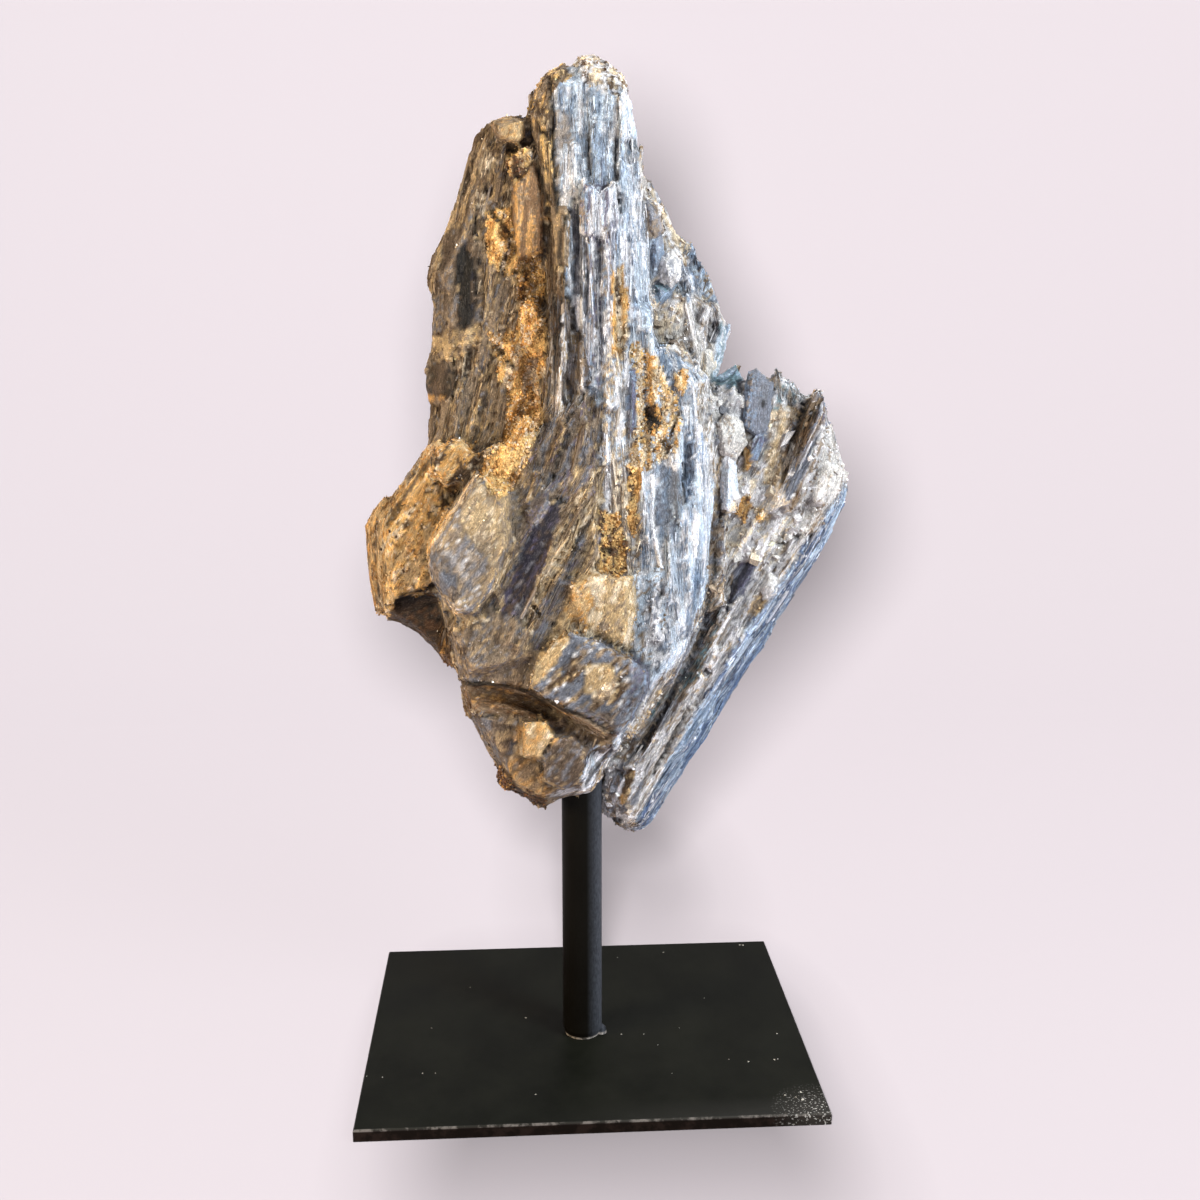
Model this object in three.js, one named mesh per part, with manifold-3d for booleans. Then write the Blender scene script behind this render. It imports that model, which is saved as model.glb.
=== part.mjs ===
// Kyanite display specimen: a mass of bladed crystals that stands on a round steel rod and a steel plate.
// Millimetres, +Z up, the front faces -Y. The origin is the centre of the plate's underside.
import * as THREE from "three";
import { mergeVertices } from "three/addons/utils/BufferGeometryUtils.js";
import Module from "manifold-3d";

const wasm = await Module();
wasm.setup();

// Driving dimensions of the stand
const PLATE = { width: 140, depth: 110, thickness: 4, edge: 0.4 };
const POST = { radius: 6.35, x: -1.2, y: -4.5, top: 110, chamfer: 0.6, sides: 40 };
const FOOT = { taper: 0.7, height: 2.4 };
const TACK = { radius: 1.7, height: 3.2, angle: -12, sides: 10 };
const SOCKET = { gap: 0.3, bottom: 44 };

// The stone's outlines are drawn on the upright plane through the origin, as an eye in front of it sees them.
const EYE = new THREE.Vector3(-19, -397, 233);

// How the sides of a bundle round off, how far its outline is let out, and how rough its faces are
const SHOULDER = { inset: 0.3, depth: 0.35 };
const OUTLINE_GROWTH = 0.6;
const ROUGHNESS = { outline: 0.25, face: 0.9, hollow: 0.5 };
const LEAN_PIVOT = { x: -5, z: 190 };

// The stone is thickest at one height and thins towards its top and, at the back only, its bottom
const FULLNESS = { height: 190, toTop: 116, toBottom: 118, topLoss: 0.42, bottomLoss: 0.4 };

// A lath or blade: how deep it is rooted, how far its ends slant and chisel, and how its ridge strays
const LATH = { root: 7, slant: 0.9, chisel: 0.8, ridge: 0.3, turn: 3, margin: 0.6, taper: [0.5, 1], rise: 1.2 };
const TRIES_PER_LATH = 60;

// Walls of the hollows and pits: where they start to close in towards the bottom, and by how much
const HOLLOW_WALL = { closesAt: 0.9, inset: 0.9 };
const PIT = { corners: 7, mouth: 30, closesAt: 2, floor: 0.5 };
const SEED = 20;

// The intergrown bundles. Each has its outline [x, z], the depth y of its front face, widest ring and back
// face, how far the front and back faces are drawn in, and its lean: how the depth changes per mm of x and z.
const BUNDLES = {
  centralColumn: {
    outline: [
      [-15.5, 284], [-15.6, 289], [-15, 293], [-13.8, 296.5], [-12, 299.5], [-9.6, 302], [-6, 304],
      [-3.2, 303.2], [-1.6, 304.6], [0.8, 306.2], [4, 305.6], [8, 304], [10.6, 301.4], [12.2, 298],
      [13.4, 294], [14.6, 288], [15.4, 282], [17, 275], [18.6, 264], [20, 250], [20.6, 232], [20.4, 214],
      [18, 196], [12, 180], [-4, 178], [-14, 196], [-13, 215], [-11.5, 232], [-11.5, 250], [-13.5, 268],
    ],
    front: -24, rim: -7, back: 19, frontInset: 5.5, backInset: 8, lean: [0, 0.02],
  },
  leftColumn: {
    outline: [
      [-15, 289.6], [-18, 289.4], [-20.5, 290], [-22.5, 288.9], [-25, 288.4], [-27.4, 287.2], [-29.2, 286],
      [-31, 283.4], [-33, 278], [-35, 272.4], [-37, 266.6], [-39, 260], [-42, 253.6], [-44.8, 249],
      [-45.8, 245], [-45.2, 241], [-44.2, 238.6], [-44.8, 231], [-45.4, 223], [-47, 216.4], [-47.4, 212.6],
      [-46, 207.4], [-46.6, 201], [-47.4, 196], [-44, 186], [-20, 180], [-14, 200], [-13, 250],
    ],
    front: -15, rim: -1, back: 21, frontInset: 6, backInset: 9, lean: [-0.22, 0.02],
  },
  ochreSeam: {
    outline: [
      [-24, 262], [-20, 285], [-13, 286], [-9, 262], [-8, 215], [-12, 190], [-30, 178], [-38, 188], [-27, 205],
      [-26, 240],
    ],
    front: -11, rim: 2, back: 14, frontInset: 2, backInset: 4, lean: [0.06, 0.07],
  },
  rightShoulder: {
    outline: [
      [15, 276], [17.6, 273.4], [19.8, 271.2], [22.2, 267.2], [24.8, 263], [25.8, 259.6], [28.6, 256.6],
      [31.4, 253.8], [33.6, 250.4], [35.6, 246.4], [37.8, 242], [39.4, 238.6], [40.6, 235.6], [42.6, 229.6],
      [41.4, 225], [40, 221], [38.6, 217], [38, 206], [20, 196], [12, 215], [12, 250],
    ],
    front: -6, rim: 5, back: 20, frontInset: 5, backInset: 7, lean: [0.15, 0.05],
  },
  rightSlab: {
    outline: [
      [34, 208], [39.6, 215], [43.4, 216.8], [45.8, 218.8], [47, 215.4], [50, 214.6], [56.6, 212.6],
      [58.2, 218.4], [60.2, 214.6], [63, 213], [66, 210], [69.6, 210.6], [72.6, 207], [73.6, 203],
      [75.6, 199.6], [77.4, 195.4], [78.6, 190.4], [80.4, 186], [80.8, 180.4], [79.2, 174.8],
      [76.8, 168.8], [73.8, 162.8], [70.2, 156.6], [65.4, 148.6], [60.2, 140.2], [55, 131.2],
      [49.2, 121.6], [43, 111.4], [37.8, 103], [31.4, 93.2], [25.2, 83.6], [21.4, 77.2], [18.8, 73.8],
      [15.8, 72.4], [11.8, 73], [7.6, 76], [5, 79], [4.2, 84], [6, 92], [12, 106], [22, 126], [30, 146],
      [32, 180],
    ],
    front: -9, rim: 4, back: 18, frontInset: 6.5, backInset: 6, lean: [-0.03, 0],
  },
  brightRidge: {
    outline: [
      [8, 226], [15, 241], [22, 239], [29, 226], [37.6, 215.4], [40, 205], [41, 196], [41, 186], [40.4, 172],
      [39.6, 162], [38.8, 154], [38, 147.6], [36.8, 143], [35.8, 138.6], [34.2, 135.8], [33.4, 130],
      [31.4, 125.4], [28.8, 121], [25.6, 118.6], [22, 113.6], [20, 108.4], [16.4, 104.6], [11, 101.4],
      [4, 108], [2, 125], [-4, 150], [-2, 185],
    ],
    front: -29, rim: -12, back: 8, frontInset: 6, backInset: 6, lean: [0.12, 0.1],
  },
  diagonalBlades: {
    outline: [
      [2, 214], [8, 190], [9, 165], [5, 145], [-8, 128], [-28, 122], [-38, 121.4], [-39.6, 125],
      [-42, 129], [-43.6, 136], [-38, 150], [-30, 172], [-22, 190], [-12, 208],
    ],
    front: -31, rim: -15, back: 14, frontInset: 6, backInset: 8, lean: [-0.06, 0.12],
  },
  paleFacet: {
    outline: [
      [-33, 188], [-37, 183], [-42, 175.6], [-46.6, 168], [-48.2, 161], [-46.8, 154.6], [-43.6, 149],
      [-40, 143.6], [-35, 143], [-27, 150], [-21, 165], [-22, 182],
    ],
    front: -34, rim: -26, back: 0, frontInset: 3.5, backInset: 3, lean: [0.1, 0.08],
  },
  leftBulge: {
    outline: [
      [-44, 199], [-47.4, 196], [-50.2, 191.4], [-53.6, 186.8], [-57.6, 181.8], [-61.4, 178.4], [-64, 175.2],
      [-65.6, 171.4], [-65.2, 164], [-65.2, 156], [-64.6, 150], [-63.4, 145.6], [-61, 143], [-57, 141.4],
      [-53.6, 139.8], [-50.4, 137], [-47.6, 133.8], [-45, 130.6], [-41.6, 127.2], [-36, 128], [-24, 150],
      [-24, 185],
    ],
    front: -20, rim: -3, back: 20, frontInset: 7, backInset: 9, lean: [-0.1, 0],
  },
  frontBlock: {
    outline: [
      [-13.4, 131.6], [-9.4, 135.6], [-4.4, 138], [0.6, 137], [6, 134], [13.4, 130], [20.4, 124.4],
      [19.4, 117], [15, 109.6], [10.4, 103.4], [6.4, 104], [0, 107.6], [-8, 112.6], [-17.4, 120.4], [-16, 127],
    ],
    front: -35.5, rim: -36, back: -4, frontInset: 2.4, backInset: 2, lean: [0.02, 0.12],
  },
  brownStep: {
    outline: [
      [-39.4, 124.4], [-38.2, 120], [-37.4, 115.4], [-36.2, 110.6], [-30, 108], [-16, 104], [2, 98], [11, 99],
      [12, 106], [0, 122], [-20, 128],
    ],
    front: -33, rim: -20, back: 12, frontInset: 2, backInset: 6, lean: [-0.12, 0.05],
  },
  bottomBlock: {
    outline: [
      [-36, 111], [-34.4, 107.6], [-32.4, 103.6], [-30.6, 100], [-28.8, 96.4], [-27.2, 93.4], [-27, 89.4],
      [-23.6, 86.4], [-19, 83.8], [-15.4, 81], [-12.4, 80.2], [-9.4, 83], [-5, 83.8], [-1, 84.4], [2, 85.2],
      [4.4, 89.4], [7, 94.6], [10.4, 99.4], [9, 104], [-2, 107.6], [-18, 110.6],
    ],
    front: -37, rim: -22, back: 13, frontInset: 3.6, backInset: 5, lean: [-0.08, -0.02],
  },
  heart: {
    outline: [
      [-8, 285], [8, 285], [12, 262], [30, 235], [34, 205], [60, 198], [66, 182], [58, 160], [30, 112],
      [12, 92], [-18, 92], [-30, 112], [-34, 140], [-54, 158], [-54, 174], [-38, 200], [-36, 240], [-24, 275],
    ],
    front: -8, rim: 6, back: 24, frontInset: 2, backInset: 12, lean: [0, 0],
  },
  backSpine: {
    outline: [
      [-15, 296], [-5, 301], [6, 299], [12, 286], [13, 250], [8, 200], [-2, 150], [-14, 118], [-26, 130],
      [-26, 170], [-20, 220], [-19, 270],
    ],
    front: 0, rim: 12, back: 38, frontInset: 2, backInset: 8, lean: [0, 0],
  },
  backLeft: {
    outline: [
      [-41, 246], [-33, 268], [-25, 262], [-22, 206], [-26, 150], [-40, 134], [-54, 152], [-58, 170],
      [-46, 194],
    ],
    front: 0, rim: 10, back: 31, frontInset: 2, backInset: 8, lean: [0, 0],
  },
  backRight: {
    outline: [
      [14, 262], [25, 252], [33, 228], [37, 202], [60, 199], [71, 186], [66, 166], [42, 126], [22, 92],
      [8, 92], [8, 130], [22, 170], [18, 220],
    ],
    front: 0, rim: 10, back: 29, frontInset: 2, backInset: 8, lean: [0, 0],
  },
};

// Facets that stand on the bundles: broken plates, lumps of quartz and crumbly ochre
const FACETS = [
  { outline: [[48, 198], [48.6, 209], [50, 215.6], [52.6, 217], [55.6, 215], [57.2, 211], [56, 203], [53, 197]],
    front: -11, rim: -7, back: 6, inset: 1.6 },
  { outline: [[66, 184], [68.6, 196], [73, 199.4], [76.6, 194], [79.6, 186.6], [79.6, 180.6], [75, 174],
      [69, 175]],
    front: -13, rim: -3, back: 8, inset: 4 },
  { outline: [[40, 200], [43.6, 204.6], [48, 202], [49, 196], [45, 192.4], [41, 194]],
    front: -15, rim: -9, back: 4, inset: 2 },
  { outline: [[21.6, 250.6], [25, 252.6], [28.6, 250], [29, 245], [25.6, 241.6], [22, 244]],
    front: -10, rim: -5, back: 6, inset: 1.8 },
  { outline: [[18.6, 268], [22.6, 264.6], [23.4, 257], [20, 252], [17.6, 258]],
    front: -11, rim: -5, back: 6, inset: 1.8 },
  { outline: [[-26.4, 288], [-21, 289.6], [-17, 288.6], [-16.6, 283.6], [-20.4, 281.6], [-25.6, 284]],
    front: -17, rim: -9, back: 2, inset: 2 },
  { outline: [[-21, 280], [-13.6, 281], [-11.4, 266], [-11.4, 252], [-15, 250], [-19.4, 256], [-20.4, 268]],
    front: -16, rim: -12, back: 0, inset: 1.6 },
  { outline: [[-18.6, 236.6], [-14.4, 238.6], [-11.8, 232], [-13.4, 228.4], [-18, 229.4]],
    front: -16.5, rim: -12, back: -2, inset: 1.4 },
  { outline: [[-18.2, 227.6], [-13.4, 228], [-11.8, 223.6], [-15.6, 222], [-18.6, 224]],
    front: -16, rim: -12, back: -2, inset: 1.4 },
  { outline: [[-30, 194.6], [-23, 197], [-17.4, 205], [-14.4, 203], [-18, 190], [-22.6, 183.6], [-31, 185.4]],
    front: -30, rim: -24, back: -8, inset: 2.4 },
  { outline: [[-45.6, 195.6], [-36, 198], [-31.4, 192], [-34.4, 186.6], [-42, 183], [-47, 188]],
    front: -27, rim: -21, back: -4, inset: 2.6 },
  { outline: [[-6, 153], [4, 157.4], [14.6, 155], [16.6, 143], [14.4, 131.6], [3.6, 134.6], [-4, 141]],
    front: -38, rim: -32, back: -14, inset: 3 },
  { outline: [[-19.6, 108.6], [-12.6, 109.6], [-8.6, 103], [-14, 95.6], [-20, 97.6]],
    front: -40.5, rim: -36, back: -18, inset: 2 },
  { outline: [[-9, 104.4], [-2.6, 105.4], [2, 99], [0.4, 89.6], [-6.6, 86], [-13.6, 89], [-14, 96]],
    front: -41, rim: -36, back: -18, inset: 2.4 },
];

// Single blades that stand clear of a bundle: their two ends [x, z], width and the depth of the face
const BLADES = [
  { from: [42.4, 196], to: [45.8, 218.4], width: 5.4, face: -3, taper: 0.25 },
  { from: [57.6, 190], to: [58.2, 218], width: 3.6, face: -9, taper: 0.3 },
  { from: [60.6, 188], to: [61.2, 214.6], width: 4.2, face: -7, taper: 0.5 },
  { from: [64.8, 188], to: [65.2, 211.6], width: 4, face: -8, taper: 0.5 },
  { from: [61, 176], to: [71.4, 211.6], width: 4.6, face: -15, taper: 0.75 },
  { from: [64.6, 175], to: [73.2, 206], width: 4.4, face: -14, taper: 0.8 },
  { from: [57.6, 174], to: [66.6, 204], width: 4, face: -13, taper: 0.6 },
  { from: [45.2, 174], to: [43.6, 194.6], width: 5.2, face: -15, taper: 0.3 },
  { from: [50.8, 190], to: [54, 199], width: 3.6, face: -14, taper: 0.4 },
  { from: [36.6, 214], to: [41.8, 233], width: 4, face: -1, taper: 0.5 },
  { from: [33, 212], to: [37, 237], width: 4.4, face: -6, taper: 0.5 },
  { from: [-8, 196], to: [-5.6, 263], width: 4, face: -27, taper: 0.8 },
  { from: [2, 212], to: [1.6, 271.4], width: 6.4, face: -27.6, taper: 0.8 },
  { from: [8, 206], to: [7.4, 271], width: 5, face: -27, taper: 0.7 },
  { from: [17.6, 202], to: [16.4, 282], width: 3.6, face: -19, taper: 0.6 },
  { from: [12.6, 222], to: [11, 296], width: 4, face: -23, taper: 0.6 },
];

// Thin laths that run along the grain of a bundle, in degrees from +X, on its front or back
const GRAIN = [
  { on: "centralColumn", angle: 90.5, count: 9, width: [2.4, 4.4], length: [26, 70], rise: [0.8, 2.2] },
  { on: "leftColumn", angle: 79, count: 6, width: [2.6, 4.6], length: [18, 46], rise: [0.8, 1.8] },
  { on: "rightShoulder", angle: 104, count: 4, width: [2.4, 4], length: [12, 26], rise: [0.8, 2] },
  { on: "rightSlab", angle: 59, count: 11, width: [2.4, 4.6], length: [24, 62], rise: [0.9, 2.4] },
  { on: "brightRidge", angle: 92, count: 8, width: [2.4, 4.4], length: [20, 50], rise: [0.9, 2.4] },
  { on: "diagonalBlades", angle: 63, count: 11, width: [2.6, 4.8], length: [24, 54], rise: [1, 2.6] },
  { on: "leftBulge", angle: 62, count: 4, width: [3, 5], length: [12, 24], rise: [0.8, 1.8] },
  { on: "brownStep", angle: -14, count: 2, width: [2, 3.4], length: [14, 30], rise: [0.7, 1.5] },
  { on: "heart", angle: 80, count: 5, width: [4, 8], length: [30, 90], rise: [1.4, 3.4], back: true },
  { on: "rightSlab", angle: 59, count: 3, width: [3, 6], length: [24, 60], rise: [1, 2.4], back: true },
  { on: "centralColumn", angle: 90, count: 3, width: [3, 5], length: [24, 60], rise: [1, 2.2], back: true },
  { on: "leftColumn", angle: 79, count: 3, width: [3, 5], length: [20, 50], rise: [1, 2.2], back: true },
  { on: "leftBulge", angle: 62, count: 2, width: [3, 5], length: [14, 26], rise: [0.8, 1.8], back: true },
  { on: "bottomBlock", angle: 66, count: 2, width: [3, 5], length: [10, 20], rise: [0.8, 1.8], back: true },
];

// Hollows and clefts: outline [x, z], and the depths y between which the stone is open
const HOLLOWS = [
  { outline: [[-37.4, 253], [-34.4, 256], [-32.4, 250], [-32.8, 240], [-33.4, 229.4], [-37, 228.6],
      [-38.4, 240]],
    from: -30, to: -8.4 },
  { outline: [[-44.6, 219], [-41, 222.6], [-39.2, 217], [-39.8, 211], [-43, 208.4], [-46.6, 212]],
    from: -30, to: -4.4 },
  { outline: [[20.6, 235], [24.6, 239], [30, 236.6], [31, 230.6], [26.4, 226], [21.6, 224]],
    from: -30, to: -1.5 },
  { outline: [[-61.6, 141], [-58.4, 147.6], [-54, 150.4], [-48.6, 151.4], [-45, 149], [-42.6, 141],
      [-40.4, 131], [-39.4, 124], [-46, 128], [-54, 137]],
    from: -60, to: -9 },
  { outline: [[39.6, 172], [41.8, 186], [43.4, 176], [42.4, 160], [40.4, 146], [37.6, 138], [36.6, 144],
      [39, 158]],
    from: -40, to: -3 },
  { outline: [[-38.6, 121.4], [-30, 121], [-18, 117.6], [-10, 113.4], [0, 106.6], [-1, 105.6], [-12, 110.4],
      [-24, 114.6], [-37.6, 117.4]],
    from: -60, to: -31 },
];

// Round pits left by small crystals that fell out: centre [x, z], radius and depth of the bottom
const PITS = [
  { at: [-5, 284], radius: 1.3, bottom: -20 },
  { at: [9.4, 297.4], radius: 1.1, bottom: -17 },
  { at: [10.6, 266.6], radius: 1.5, bottom: -20 },
  { at: [-20.6, 279.6], radius: 2.4, bottom: -8 },
  { at: [-27, 269], radius: 1.9, bottom: -8 },
  { at: [-23.6, 257], radius: 2.2, bottom: -8 },
  { at: [-19, 248.6], radius: 1.5, bottom: -8 },
  { at: [-7, 230], radius: 1.6, bottom: -20 },
  { at: [20.6, 205], radius: 2.8, bottom: -24 },
  { at: [16, 185], radius: 2, bottom: -26 },
  { at: [-7.6, 181], radius: 1.5, bottom: -29 },
  { at: [5.4, 165.6], radius: 1.5, bottom: -29 },
  { at: [54.6, 207.6], radius: 1.1, bottom: -8 },
  { at: [62, 167], radius: 2, bottom: -6 },
  { at: [9.4, 92], radius: 1.6, bottom: -4 },
  { at: [38.6, 124], radius: 1.6, bottom: -6 },
];

// Repeatable random numbers, so that the stone is the same each time it is built
let randomState = SEED;
function random() {
  randomState = (randomState + 0x6d2b79f5) | 0;
  let mixed = Math.imul(randomState ^ (randomState >>> 15), 1 | randomState);
  mixed = (mixed + Math.imul(mixed ^ (mixed >>> 7), 61 | mixed)) ^ mixed;
  return ((mixed ^ (mixed >>> 14)) >>> 0) / 4294967296;
}

const between = ([low, high]) => low + (high - low) * random();
const wobble = (size) => size * (2 * random() - 1);
const mix = THREE.MathUtils.lerp;

function fullness(z, behind) {
  const above = (z - FULLNESS.height) / FULLNESS.toTop;
  if (above > 0) return 1 - FULLNESS.topLoss * above ** 2.5;
  const below = (FULLNESS.height - z) / FULLNESS.toBottom;
  return behind ? 1 - FULLNESS.bottomLoss * below ** 2 : 1;
}

// A point of the drawing plane, carried along its line of sight to its depth in the stone
function sighted(x, z, depth) {
  const y = depth * fullness(z, depth > 0);
  const reach = (y - EYE.y) / -EYE.y;
  return new THREE.Vector3(mix(EYE.x, x, reach), y, mix(EYE.z, z, reach));
}

// A closed mesh from rings of points round one outline, first ring in front, closed off at both ends
function ringSolid(outline, rings) {
  const count = outline.length;
  const index = [];
  for (const [a, b, c] of THREE.ShapeUtils.triangulateShape(outline, [])) {
    const last = (rings.length - 1) * count;
    index.push(a, b, c, last + c, last + b, last + a);
  }
  for (let ring = 0; ring + 1 < rings.length; ring++) {
    for (let i = 0; i < count; i++) {
      const next = (i + 1) % count;
      const [a, b] = [ring * count + i, ring * count + next];
      index.push(a, a + count, b, b, a + count, b + count);
    }
  }
  const geometry = new THREE.BufferGeometry().setFromPoints(rings.flat());
  geometry.setIndex(index);
  return solidOf(geometry);
}

// A closed geometry as a solid for joining and cutting, turned right side out if it has to be
function solidOf(geometry) {
  const bare = geometry.clone();
  bare.deleteAttribute("normal");
  bare.deleteAttribute("uv");
  const merged = mergeVertices(bare, 1e-4);
  const triVerts = new Uint32Array(merged.index.array);
  const vertProperties = merged.attributes.position.array;
  const made = new wasm.Manifold(new wasm.Mesh({ numProp: 3, vertProperties, triVerts }));
  if (made.volume() > 0) return made;
  for (let i = 0; i < triVerts.length; i += 3) {
    [triVerts[i + 1], triVerts[i + 2]] = [triVerts[i + 2], triVerts[i + 1]];
  }
  return new wasm.Manifold(new wasm.Mesh({ numProp: 3, vertProperties, triVerts }));
}

function geometryOf(solid) {
  const mesh = solid.getMesh();
  const geometry = new THREE.BufferGeometry();
  geometry.setAttribute("position", new THREE.BufferAttribute(mesh.vertProperties, mesh.numProp));
  geometry.setIndex(new THREE.BufferAttribute(mesh.triVerts, 1));
  return geometry;
}

const vectors = (outline) => outline.map(([x, z]) => new THREE.Vector2(x, z));

function anticlockwise(points) {
  return THREE.ShapeUtils.isClockWise(points) ? [...points].reverse() : points;
}

// The outline drawn in by a distance, each corner along the line that halves it
function drawnIn(points, distance) {
  return points.map((point, i) => {
    const before = points[(i + points.length - 1) % points.length];
    const after = points[(i + 1) % points.length];
    const along = point.clone().sub(before).normalize();
    const onward = after.clone().sub(point).normalize();
    const inward = new THREE.Vector2(-along.y - onward.y, along.x + onward.x).normalize();
    return point.clone().addScaledVector(inward, distance);
  });
}

function leanAt(lean, x, z) {
  return lean ? lean[0] * (x - LEAN_PIVOT.x) + lean[1] * (z - LEAN_PIVOT.z) : 0;
}

// One bundle: its outline at the widest ring, rounded off to a smaller face in front and behind
function bundleSolid({ outline, front, rim, back, frontInset, backInset, lean }) {
  const edge = anticlockwise(vectors(outline));
  const profile = [
    [front, frontInset],
    [mix(front, rim, SHOULDER.depth), frontInset * SHOULDER.inset],
    [rim, 0],
    [mix(back, rim, SHOULDER.depth), backInset * SHOULDER.inset],
    [back, backInset],
  ];
  const rings = profile.map(([depth, inset], ring) =>
    drawnIn(edge, inset - OUTLINE_GROWTH).map((point) => {
      const x = point.x + wobble(ROUGHNESS.outline);
      const z = point.y + wobble(ROUGHNESS.outline);
      const tilt = ring < 2 ? leanAt(lean, x, z) : 0;
      return sighted(x, z, depth + tilt + wobble(ROUGHNESS.face));
    }),
  );
  return ringSolid(edge, rings);
}

function facetSolid({ outline, front, rim, back, inset }) {
  return bundleSolid({ outline, front, rim, back, frontInset: inset, backInset: inset, lean: null });
}

function hollowSolid({ outline, from, to }) {
  const edge = anticlockwise(vectors(outline));
  const mouth = edge.map((point) => sighted(point.x, point.y, from));
  const middle = edge.map((point) => sighted(point.x, point.y, mix(from, to, HOLLOW_WALL.closesAt)));
  const floor = drawnIn(edge, HOLLOW_WALL.inset);
  const bottom = floor.map((point) => sighted(point.x, point.y, to + wobble(ROUGHNESS.hollow)));
  return ringSolid(edge, [mouth, middle, bottom]);
}

function pitSolid({ at: [x, z], radius, bottom }) {
  const edge = Array.from({ length: PIT.corners }, (_, i) => {
    const turn = (2 * Math.PI * i) / PIT.corners;
    const reach = radius * (1 + wobble(0.2));
    return new THREE.Vector2(x + reach * Math.cos(turn), z + reach * Math.sin(turn));
  });
  const ring = (depth, inset) => drawnIn(edge, inset).map((point) => sighted(point.x, point.y, depth));
  return ringSolid(edge, [
    ring(bottom - PIT.mouth, 0),
    ring(bottom - PIT.closesAt, 0),
    ring(bottom, radius * PIT.floor),
  ]);
}

// A blade between two points of the drawing: a ridged section whose ends are broken off aslant
function bladeSolid({ from, to, width, taper, faces, rise, behind }) {
  const start = new THREE.Vector2(...from);
  const end = new THREE.Vector2(...to);
  const along = end.clone().sub(start).normalize();
  const across = new THREE.Vector2(-along.y, along.x);
  const section = [[-0.5, LATH.root], [-0.5, 0], [wobble(LATH.ridge), -rise], [0.5, 0], [0.5, LATH.root]];
  const slant = [wobble(LATH.slant), wobble(LATH.slant)];
  const rings = [start, end].map((centre, side) => {
    const size = side === 0 ? width : width * taper;
    return section.map(([s, t]) => {
      const chisel = t < 0 ? -LATH.chisel * t * (side === 0 ? 1 : -1) : 0;
      const point = centre
        .clone()
        .addScaledVector(across, s * size)
        .addScaledVector(along, slant[side] * s * size + chisel);
      return sighted(point.x, point.y, faces[side] + (behind ? -t : t));
    });
  });
  return stackSolid(rings);
}

// Joins two equal rings that face each other along a blade
function stackSolid([first, second]) {
  const count = first.length;
  const index = [];
  for (let i = 1; i + 1 < count; i++) {
    index.push(0, i, i + 1, count, count + i + 1, count + i);
  }
  for (let i = 0; i < count; i++) {
    const next = (i + 1) % count;
    index.push(i, i + count, next, next, i + count, next + count);
  }
  const geometry = new THREE.BufferGeometry().setFromPoints([...first, ...second]);
  geometry.setIndex(index);
  return solidOf(geometry);
}

function inside(points, { x, y }) {
  let within = false;
  points.forEach((a, i) => {
    const b = points[(i + 1) % points.length];
    const crosses = a.y > y !== b.y > y && x < ((b.x - a.x) * (y - a.y)) / (b.y - a.y) + a.x;
    if (crosses) within = !within;
  });
  return within;
}

function distanceToEdge(points, point) {
  const nearest = new THREE.Vector3();
  const flat = new THREE.Vector3(point.x, point.y, 0);
  const gaps = points.map((a, i) => {
    const b = points[(i + 1) % points.length];
    const side = new THREE.Line3(new THREE.Vector3(a.x, a.y, 0), new THREE.Vector3(b.x, b.y, 0));
    return side.closestPointToPoint(flat, true, nearest).distanceTo(flat);
  });
  return Math.min(...gaps);
}

// Depth of a bundle's front or back surface at a point of the drawing
function faceDepth({ front, rim, back, frontInset, backInset, lean }, edge, point, behind) {
  const gap = distanceToEdge(edge, point);
  const [face, inset] = behind ? [back, backInset] : [front, frontInset];
  const shoulderGap = inset * SHOULDER.inset;
  const shoulder = mix(face, rim, SHOULDER.depth);
  const tilt = behind ? 0 : leanAt(lean, point.x, point.y);
  if (gap < shoulderGap) return mix(rim, shoulder, gap / shoulderGap);
  return mix(shoulder, face, Math.min(1, (gap - shoulderGap) / (inset - shoulderGap))) + tilt;
}

// Laths at random places of a bundle, each kept inside its outline
function lathSolids({ on, angle, count, width, length, rise, back: behind = false }) {
  const bundle = BUNDLES[on];
  const edge = anticlockwise(vectors(bundle.outline));
  const box = new THREE.Box2().setFromPoints(edge);
  const solids = [];
  for (let tries = 0; solids.length < count && tries < count * TRIES_PER_LATH; tries++) {
    const turn = THREE.MathUtils.degToRad(angle + wobble(LATH.turn));
    const half = new THREE.Vector2(Math.cos(turn), Math.sin(turn)).multiplyScalar(between(length) / 2);
    const centre = new THREE.Vector2(between([box.min.x, box.max.x]), between([box.min.y, box.max.y]));
    const ends = [centre.clone().sub(half), centre.clone().add(half)];
    const size = between(width);
    const clear = (end) => inside(edge, end) && distanceToEdge(edge, end) > size * LATH.margin;
    if (![...ends, centre].every(clear)) continue;
    const faces = ends.map((end) => faceDepth(bundle, edge, end, behind));
    const [from, to] = ends.map((end) => [end.x, end.y]);
    const taper = between(LATH.taper);
    solids.push(bladeSolid({ from, to, width: size, taper, faces, rise: between(rise), behind }));
  }
  return solids;
}

// The whole stone in one piece, with the hollows and the post's socket cut out
function kyaniteSolid() {
  const masses = [
    ...Object.values(BUNDLES).map(bundleSolid),
    ...FACETS.map(facetSolid),
    ...BLADES.map((blade) => bladeSolid({ ...blade, faces: [blade.face, blade.face], rise: LATH.rise })),
    ...GRAIN.flatMap(lathSolids),
  ];
  const cuts = [...HOLLOWS.map(hollowSolid), ...PITS.map(pitSolid), socketSolid()];
  const stone = cuts.reduce((left, cut) => left.subtract(cut), wasm.Manifold.union(masses));
  return outerSkin(stone);
}

// The largest closed skin alone: gaps sealed between bundles are filled, and loose splinters are dropped
function outerSkin(solid) {
  return solid.decompose().reduce((largest, skin) => (skin.volume() > largest.volume() ? skin : largest));
}

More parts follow.
